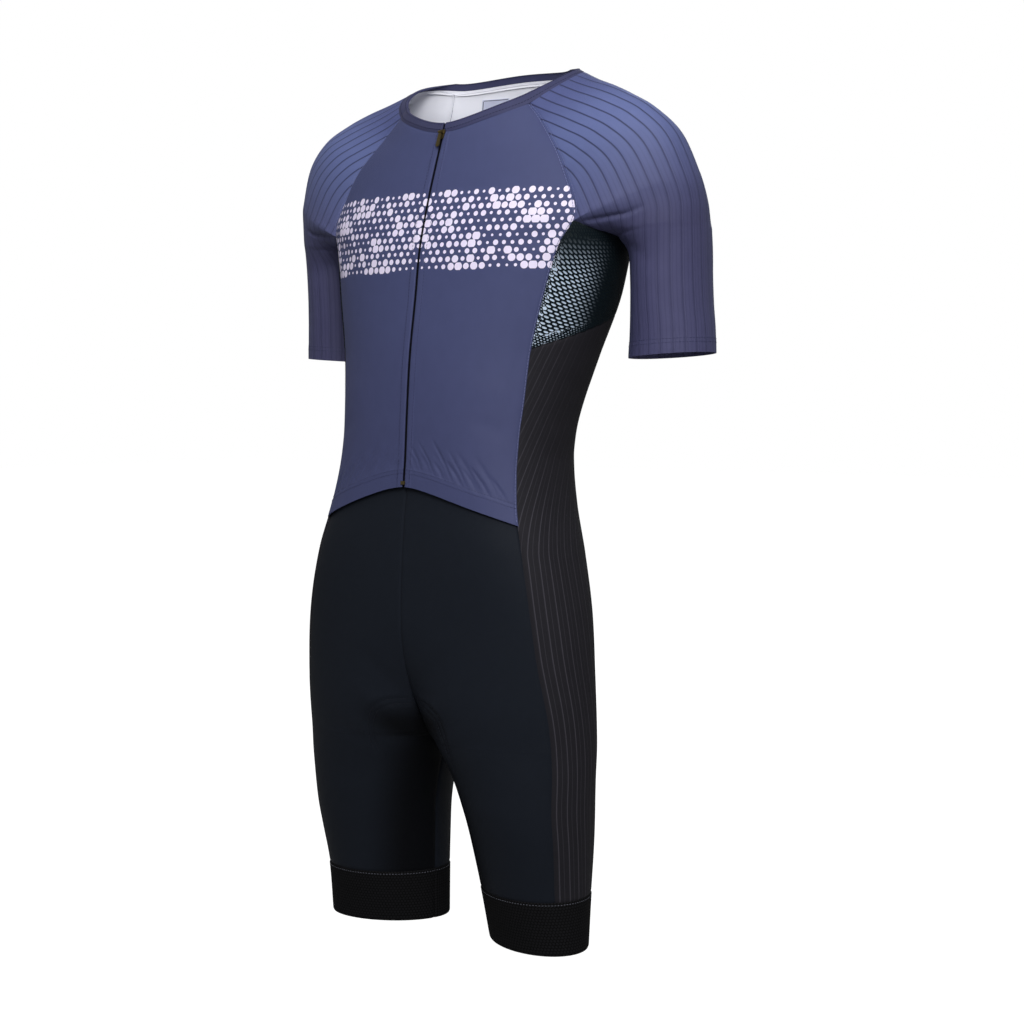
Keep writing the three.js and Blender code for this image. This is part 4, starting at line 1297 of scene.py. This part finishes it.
side = overlapped(side_grid(), "top bottom left right")
side_shape = seam_dip(side, "top bottom left right") + crease_lift(side, SIDE_CREASES)
shorts_front, shorts_rows, shorts_share = shorts_front_grid()
shorts_front = softened_fork(shorts_front, shorts_share)
tucked_share = np.interp(shorts_rows, [0, 1, 2, 3], [1, 1, 0.35, 0])[:, None]
tuck = -mix(TUCK_CENTRE, TUCK_SIDE, shorts_share) * tucked_share
shorts_front = overlapped(shorts_front, "bottom left right")
shorts_front_shape = tuck + seam_dip(shorts_front, "bottom left right")
shorts_front_shape = shorts_front_shape + crease_lift(shorts_front, SHORTS_FRONT_CREASES)
shorts_back = overlapped(shorts_back_grid(), "top bottom left right")
shorts_back_shape = seam_dip(shorts_back, "top bottom left right")
shorts_back_shape = shorts_back_shape + crease_lift(shorts_back, SHORTS_BACK_CREASES)
SIDED = [
    ("side", side, side_shape, SIDE, "side", ["front", "mesh"]),
    ("shorts_front", shorts_front, shorts_front_shape, SHORTS_FRONT, "shorts", ["side"]),
    ("shorts_back", shorts_back, shorts_back_shape, SHORTS, "shorts", ["side"]),
]
for stem, grid, shape, material, slot, neighbours in SIDED:
    pair(stem, grid, cut_of(grid), (shape, shape), material, BLACK_INSIDE, slot, neighbours)

# %% [markdown]
# The leg bands are a thicker elastic that is printed with grip inside. They stand very slightly proud of
# the leg, and their lower edge is folded, so it is round.

# %% Leg bands
BAND_THICK = 1.3
band = overlapped(band_grid(), "top left right")
band_edges = edge_distances(band)
band_shape = 0.5 + seam_dip(band, "top left right") - 0.6 * np.exp(-((band_edges["bottom"] / 0.9) ** 2))
pair("leg_band", band, cut_of(band), (band_shape, band_shape), BAND, BLACK_INSIDE, "band",
     ["shorts_front", "side"], thick=BAND_THICK)

# %% [markdown]
# Under the arm is an open mesh. Real mesh is knitted with a hole in every stitch, here about six millimetres
# by one and a half and leaning. A picture of holes would look flat, so the net is real: each cell is a ring
# of faces round an oval hole, over a paler backing.

# %% Mesh under the arms
CELL = np.array([8.4, 2.55])
HOLE = np.array([3.15, 0.82])
BORDER_CELL = np.array([4.4, 1.7])
BORDER_HOLE = np.array([1.35, 0.5])
BORDER = 7.5
BORDER_BESIDE = 3.5
CELL_LEAN = math.radians(25)
NET_RISE = 0.5
ARMPIT_OVERLAP = 2.2               # the sleeve meets the mesh at a corner, so the mesh runs on behind it
mesh_down = crowded(100, 3.0)[:, None]
mesh_share = crowded(120, 3.0)[None, :]
backing = overlapped(mesh_grid(*np.broadcast_arrays(mesh_down, mesh_share)), "bottom left right")
backing = overlapped(backing, "top", ARMPIT_OVERLAP)
backing_shape = -0.6 + seam_dip(backing, "top bottom left right")

FINE = 161
fine_down, fine_share = np.meshgrid(np.linspace(0, 1, FINE), np.linspace(0, 1, FINE), indexing="ij")
fine = mesh_grid(fine_down, fine_share)
fine_normal = directions(fine)
MESH_WIDE = run_along(fine, 1)[:, -1].mean()
MESH_TALL = run_along(fine, 0)[-1].mean()


def net_place(across, down, rise):
    """A point of the net from flat millimetres on the mesh panel, moved out by rise."""
    i = np.clip(down / MESH_TALL, 0, 1) * (FINE - 1)
    j = np.clip(across / MESH_WIDE, 0, 1) * (FINE - 1)
    low_i = np.clip(i.astype(int), 0, FINE - 2)
    low_j = np.clip(j.astype(int), 0, FINE - 2)
    a = (i - low_i)[..., None]
    b = (j - low_j)[..., None]
    place = fine + fine_normal * rise
    upper = mix(place[low_i, low_j], place[low_i, low_j + 1], b)
    lower = mix(place[low_i + 1, low_j], place[low_i + 1, low_j + 1], b)
    return mix(upper, lower, a)


def net_cells(size, hole_size, near, far):
    """Flat outlines of cells and their holes, for cells between two distances from the panel's edge."""
    # A brick pattern of cells, each drawn as a hexagon so that neighbours share their sides.
    hexagon = np.array([(-0.5, -0.25), (0, -0.75), (0.5, -0.25), (0.5, 0.25), (0, 0.75), (-0.5, 0.25)]) * size
    outline = np.repeat(hexagon, 2, axis=0)
    outline[1::2] = (hexagon + np.roll(hexagon, -1, axis=0)) / 2
    around = np.linspace(0, math.tau, 12, endpoint=False) - math.pi + math.radians(15)
    hole = np.stack([np.cos(around), np.sin(around)], -1) * hole_size
    reach = int(1.5 * MESH_WIDE / size[1])
    row, column = np.meshgrid(np.arange(-reach, reach), np.arange(-reach, reach), indexing="ij")
    cells = np.stack([column + 0.5 * (row % 2), row], -1).reshape(-1, 2) * size
    lean = np.array([[math.cos(CELL_LEAN), -math.sin(CELL_LEAN)], [math.sin(CELL_LEAN), math.cos(CELL_LEAN)]])
    cells = cells @ lean.T + (MESH_WIDE / 2, MESH_TALL / 2)
    beside = np.minimum(cells[:, 0], MESH_WIDE - cells[:, 0]) * BORDER / BORDER_BESIDE
    inward = np.minimum(beside, np.minimum(cells[:, 1], MESH_TALL - cells[:, 1]))
    cells = cells[(inward >= near) & (inward < far)][:, None]
    return np.stack([cells + outline @ lean.T, cells + hole @ lean.T], 1)


wide_cells = net_cells(CELL, HOLE, BORDER, math.inf)
net_flat = np.concatenate([wide_cells, net_cells(BORDER_CELL, BORDER_HOLE, 0, BORDER)])
print("mesh cells on each side:", len(net_flat))


def net_object(name, flip):
    """The net as rings of faces round its holes, with walls down into each hole."""
    count, _, sides, _ = net_flat.shape
    outline = net_flat[:, 0]
    hole = net_flat[:, 1]
    rings = [
        net_place(outline[..., 0], outline[..., 1], -0.1),
        net_place(hole[..., 0], hole[..., 1], 0.05),
        net_place(hole[..., 0], hole[..., 1], -0.1 - NET_RISE),
    ]
    points = np.stack(rings, 1)
    ring = np.arange(sides)
    follow = (ring + 1) % sides
    base = (np.arange(count) * 3 * sides)[:, None]
    bands = []
    for k in range(2):
        bands.append(np.stack([base + k * sides + ring, base + (k + 1) * sides + ring,
                               base + (k + 1) * sides + follow, base + k * sides + follow], -1))
    faces = np.concatenate([part.reshape(-1, 4) for part in bands])
    points = points.reshape(-1, 3)
    if flip:
        points = points * np.array([-1, 1, 1])
        faces = faces[:, ::-1]
    return put_in_scene(name, points, faces.tolist(), [MESH_NET], points[:, [0, 2]])


for hand in ("left", "right"):
    flip = hand == "right"
    grid = mirrored(backing) if flip else backing
    shape = backing_shape[:, ::-1] if flip else backing_shape
    made = shell(f"mesh_{hand}_backing", grid, cut_of(grid), shape, MESH_BACKING, BLACK_INSIDE, 0.6)
    finish_panel(made, backing, f"mesh_{hand}")
    net = net_object(f"mesh_{hand}_net", flip)
    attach(net, BODY)

# %% [markdown]
# The collar is a narrow folded band that stands on the neckline. It continues the slope of each panel, so
# its upper edge is found by running a short way up from the neckline. Its fold is rounded at the top. At
# the raglan seams the neckline dips a little. A band doesn't follow such a dip, so it runs on evenly there
# and laps over the panels.

# %% Collar
COLLAR_HEIGHT = 11
COLLAR_FOLD = 7.5
COLLAR_OVERLAP = 2.5


def neckline():
    """The neckline from the zip round the back to the zip, and the slope that runs up from it."""
    front_levels = np.array([[FRONT_SEAM["z"][0]], [-50.0]])
    front_rows = front_points(front_levels, centre_of(front_levels), np.linspace(0, 1, 41)[None, :], zip_turn)
    sleeve_pair = sleeve(np.array([0.0, 1.0]), np.linspace(-1, 1, 61))
    back_rows = back_points(np.array([[BACK_SEAM["z"][0]], [-20.0]]), np.linspace(-1, 1, 81)[None, :])
    stretches = [front_rows, sleeve_pair, back_rows, mirrored(sleeve_pair), mirrored(front_rows)]
    joined = np.concatenate([part if k == 0 else part[:, 1:] for k, part in enumerate(stretches)], axis=1)
    up = joined[0] - joined[1]
    up /= np.linalg.norm(up, axis=-1, keepdims=True)
    kernel = np.hanning(25)
    kernel /= kernel.sum()
    padded_up = np.concatenate([np.repeat(up[:1], 12, 0), up, np.repeat(up[-1:], 12, 0)])
    up = np.stack([np.convolve(padded_up[:, axis], kernel, mode="valid") for axis in range(3)], -1)
    return joined[0], up / np.linalg.norm(up, axis=-1, keepdims=True)


def evened(line, reach=16):
    """A line's height with its small dips evened out, but for its ends, and how much it was evened."""
    run = np.r_[0, np.cumsum(np.linalg.norm(np.diff(line, axis=0), axis=-1))]
    steps = np.linspace(0, run[-1], round(run[-1] / 2) + 1)
    kernel = np.hanning(2 * reach + 1)
    padded = np.pad(np.interp(steps, run, line[:, 2]), reach, mode="edge")
    height = np.interp(run, steps, np.convolve(padded, kernel / kernel.sum(), mode="valid"))
    share = smoothstep(40, 100, np.minimum(run, run[-1] - run))
    return np.stack([line[:, 0], line[:, 1], mix(line[:, 2], height, share)], -1), share


neck_line, neck_up = neckline()
neck_line, neck_share = evened(neck_line)
collar_share = crowded(COLLAR_HEIGHT + 8, 1.2)[:, None]
collar_rise = mix(COLLAR_HEIGHT, -COLLAR_OVERLAP * neck_share, collar_share)
collar_grid = neck_line + neck_up * collar_rise[..., None]
collar_edges = edge_distances(collar_grid)
collar_shape = 0.55 - 0.8 * np.exp(-((collar_edges["top"] / 0.8) ** 2)) + seam_dip(collar_grid, "bottom")
collar = shell("collar_cloth", collar_grid, cut_of(collar_grid), collar_shape, COLLAR, WHITE_INSIDE, 1.7,
               turned=COLLAR_FOLD, edge="top")
finish_panel(collar, collar_grid, "collar")

# %% [markdown]
# The label inside the neck is a small woven patch. The real one carries a name, so here it stays blank,
# with only a woven border. It lies on the white inside of the back.

# %% Neck label
LABEL_FROM = -30
LABEL_TO = -68
LABEL_TOP = -10
LABEL_LOW = -29
LABEL_INSET = 1.1
label_x = mix(LABEL_FROM, LABEL_TO, crowded(LABEL_FROM - LABEL_TO, 1.6))[None, :]
label_turn = 180 - np.degrees(np.arcsin(label_x / smooth(TORSO, "wide", LABEL_TOP)))
label_rows = mix(LABEL_TOP, LABEL_LOW, crowded(LABEL_TOP - LABEL_LOW, 1.6))[:, None]
label_grid = torso(label_turn, label_rows)
label_edges = edge_distances(label_grid)
to_edge = np.minimum.reduce([label_edges[edge] for edge in label_edges])
label_shape = -1.5 - 0.25 * np.exp(-(((to_edge - 1.6) / 0.6) ** 2))
label = shell("neck_label_cloth", label_grid, cut_of(label_grid), label_shape, LABEL, LABEL_LINE, 0.7)
face_to_edge = (to_edge[:-1, :-1] + to_edge[1:, 1:]).reshape(-1) / 2
on_border = np.abs(face_to_edge - LABEL_INSET) < 0.3
rim = np.zeros(len(label.data.polygons) - 2 * len(on_border), bool)
label.data.polygons.foreach_set("material_index", np.r_[on_border, on_border, rim].astype(np.int32))
finish_panel(label, label_grid, "neck_label")

# %% [markdown]
# A coil zip is two nylon spirals that mesh like a row of tiny hooks, sewn on a woven tape. At this size
# each turn shows as a small bar across the slot, so the coil is made as rows of rounded bars that reach
# from left and right in turn.

# %% Zip
TAPE_HALF = 12
TAPE_DEPTH = -2.2
TOOTH_PITCH = 1.3
TOOTH_RADIUS = 0.42
TOOTH_HALF = 1.15
tape_z = np.linspace(-55.5, HEM_CENTRE, 120)
tape_x = np.array([-TAPE_HALF, -8, -4, -1.8, 1.8, 4, 8, TAPE_HALF])
tape_turn = np.degrees(np.arctan(tape_x[None, :] / smooth(TORSO, "front", tape_z)[:, None]))
tape_grid = torso(tape_turn, np.broadcast_to(tape_z[:, None], tape_turn.shape))
tape_lift = np.full(tape_grid.shape[:2], TAPE_DEPTH)
tape = shell("zip_tape_cloth", tape_grid, cut_of(tape_grid), tape_lift, TAPE, TAPE, 0.8)
finish_panel(tape, tape_grid, "zip_tape")


def capsule(sides=6):
    """A unit bar along X with rounded ends: its ring points and faces."""
    profile = np.array([(-1.0, 0.0), (-0.93, 0.6), (-0.72, 1.0), (0.72, 1.0), (0.93, 0.6), (1.0, 0.0)])
    around = np.linspace(0, math.tau, sides, endpoint=False)
    points = [
        (along, radius * math.cos(angle), radius * math.sin(angle)) for along, radius in profile[1:-1]
        for angle in around
    ]
    points += [(-1, 0, 0), (1, 0, 0)]
    faces = []
    rings = len(profile) - 2
    for ring in range(rings - 1):
        for side_at in range(sides):
            beside = (side_at + 1) % sides
            faces.append((ring * sides + side_at, (ring + 1) * sides + side_at,
                          (ring + 1) * sides + beside, ring * sides + beside))
    last = (rings - 1) * sides
    first_pole = rings * sides
    for side_at in range(sides):
        beside = (side_at + 1) % sides
        faces.append((first_pole, side_at, beside))
        faces.append((first_pole + 1, last + beside, last + side_at))
    return np.array(points), faces


def many_bars(name, middles, along, out, half, radius, material, flatten=1.0):
    """One mesh of many small bars: each has a middle, a direction along it and one out of the cloth."""
    shape, faces = capsule()
    along = along / np.linalg.norm(along, axis=-1, keepdims=True)
    across_bar = np.cross(out, along)
    across_bar /= np.linalg.norm(across_bar, axis=-1, keepdims=True)
    out = np.cross(along, across_bar)
    points = (middles[:, None] + shape[None, :, :1] * half * along[:, None]
              + shape[None, :, 1:2] * radius * across_bar[:, None]
              + shape[None, :, 2:] * radius * flatten * out[:, None])
    size = len(shape)
    every = [tuple(corner + k * size for corner in face) for k in range(len(middles)) for face in faces]
    made = put_in_scene(name, points, every, [material], points[..., [0, 2]], sharp=180)
    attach(made, BODY)
    print(name, "bars:", len(middles))


tooth_z = np.arange(-57, HEM_CENTRE + 3, -TOOTH_PITCH / 2)
tooth_side = np.where(np.arange(len(tooth_z)) % 2 == 0, 1, -1)
tooth_line = torso(0 * tooth_z, tooth_z)
zip_down = np.gradient(tooth_line, axis=0)
zip_out = np.cross(zip_down, np.array([1.0, 0, 0]))
zip_out /= np.linalg.norm(zip_out, axis=-1, keepdims=True)
zip_out *= -np.sign(zip_out[:, 1:2])
tooth_middle = tooth_line + zip_out * -1.0 + np.array([1.0, 0, 0]) * (tooth_side * 0.55)[:, None]
tooth_along = np.tile([1.0, 0, 0], (len(tooth_z), 1))
many_bars("zip_coil", tooth_middle, tooth_along, zip_out, TOOTH_HALF, TOOTH_RADIUS, TAPE, 1.6)

# %% [markdown]
# The stitches are real too. A line of sewing is a path on the surface and a stitch length; each stitch is
# a short rounded bar that sinks at both ends. A coverstitch is two such lines side by side.

# %% Stitches


def at_places(values, travelled, places):
    """Points or directions of a path, read at distances along it."""
    return np.stack([np.interp(places, travelled, values[:, axis]) for axis in range(3)], -1)


def sew(name, paths, outs, thread, slot, length=2.6, gap=0.9, radius=0.28):
    """Bars along paths in millimetres; outs holds each path's directions out of the cloth."""
    middles = []
    along = []
    outward = []
    for path, out in zip(paths, outs):
        travelled = np.r_[0, np.cumsum(np.linalg.norm(np.diff(path, axis=0), axis=-1))]
        places = np.arange(length / 2, travelled[-1] - length / 2, length + gap)
        start = at_places(path, travelled, places - length / 2)
        end = at_places(path, travelled, places + length / 2)
        middles.append(at_places(path, travelled, places))
        along.append(end - start)
        outward.append(at_places(out, travelled, places))
    many_bars(name, np.concatenate(middles), np.concatenate(along), np.concatenate(outward), length / 2,
              radius, THREADS[thread], 0.8)


def surface_line(grid, lift, row=None, column=None):
    """A path on a lifted grid along one of its rows or columns, with its directions."""
    normal = directions(grid)
    place = grid + normal * (np.broadcast_to(lift, grid.shape[:2])[..., None] + 0.1)
    if row is not None:
        low = int(row)
        return mix(place[low], place[low + 1], row - low), normal[low]
    low = int(column)
    return mix(place[:, low], place[:, low + 1], column - low), normal[:, low]


def row_at(grid, edge, distance):
    """The fractional row of a grid that lies a distance in millimetres from its top or bottom edge."""
    down = run_along(grid, 0).mean(axis=1)
    wanted = distance if edge == "top" else down[-1] - distance
    return np.interp(wanted, down, np.arange(len(down)))


def column_at(grid, edge, distance):
    """The fractional column that lies a distance in millimetres from the left or right edge."""
    run = run_along(grid, 1).mean(axis=0)
    wanted = distance if edge == "left" else run[-1] - distance
    return np.interp(wanted, run, np.arange(len(run)))


def both_hands(lines_made):
    """Paths and directions for the left side, and the same mirrored."""
    flip = np.array([-1, 1, 1])
    paths = [path for path, _ in lines_made] + [path * flip for path, _ in lines_made]
    outs = [out for _, out in lines_made] + [out * flip for _, out in lines_made]
    return paths, outs


hem_lines = [surface_line(front, front_shape, row=row_at(front, "bottom", HEM_DEPTH + off))
             for off in (0, -4)]
sew("stitches_front_hem", *both_hands(hem_lines), "hem", "front", radius=0.22)
cuff_lines = [surface_line(sleeve_grid, sleeve_shape, row=row_at(sleeve_grid, "bottom", SLEEVE_HEM + off))
              for off in (0, -4)]
sew("stitches_sleeve_hem", *both_hands(cuff_lines), "hem", "sleeve", radius=0.22)
zip_lines = [surface_line(front, front_shape, column=column_at(front, "left", ZIP_FOLD - 0.4))]
sew("stitches_zip", *both_hands(zip_lines), "navy", "front", radius=0.2)
# A painted highlight: the pale stitches along the side seam stand for the light that the front's curled edge
# catches there.
seam_highlight_lines = [surface_line(front, front_shape, column=column_at(front, "right", 1.6))]
sew("side_seam_highlight_stitches", *both_hands(seam_highlight_lines), "light", "front", 3.0, 0.5, 0.25)
raglan_end = np.searchsorted(sleeve_rows, RAGLAN_LAST)
raglan_lines = []
for edge in ("left", "right"):
    path, out = surface_line(sleeve_grid, sleeve_shape, column=column_at(sleeve_grid, edge, 1.8))
    raglan_lines.append((path[:raglan_end], out[:raglan_end]))
sew("stitches_raglan", *both_hands(raglan_lines), "light", "sleeve", 2.8, 0.8, 0.22)
band_lines = [surface_line(band, band_shape, row=row_at(band, "top", 2.4))]
sew("stitches_leg_band", *both_hands(band_lines), "grey", "band", 1.7, 1.5, 0.3)
collar_lines = [surface_line(collar_grid, collar_shape, row=row_at(collar_grid, "top", off))
                for off in (2.2, 9.2)]
collar_paths, collar_outs = zip(*collar_lines)
sew("stitches_collar", collar_paths, collar_outs, "collar", "collar")

# %% [markdown]
# The seat pad is inside, so only the double line of stitches that holds its front edge shows. It is the
# arch on the lower front of the shorts that is pressed into the cloth above.

# %% Pad outline
arch_lines = [(path - out * 0.75, out) for path, out in pad_paths.values()]
sew("stitches_pad", *both_hands(arch_lines), "grey_dark", "shorts", 2.2, 0.8, 0.3)

# %% [markdown]
# The slider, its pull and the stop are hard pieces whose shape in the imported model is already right. They
# keep it, and only get a dull brass finish.

# %% Metal pieces
for node in ("zip_slider", "zip_pull", "zip_stop"):
    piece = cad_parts[node]
    piece.data.materials.clear()
    piece.data.materials.append(DULL_BRASS)
print("metal pieces finished")
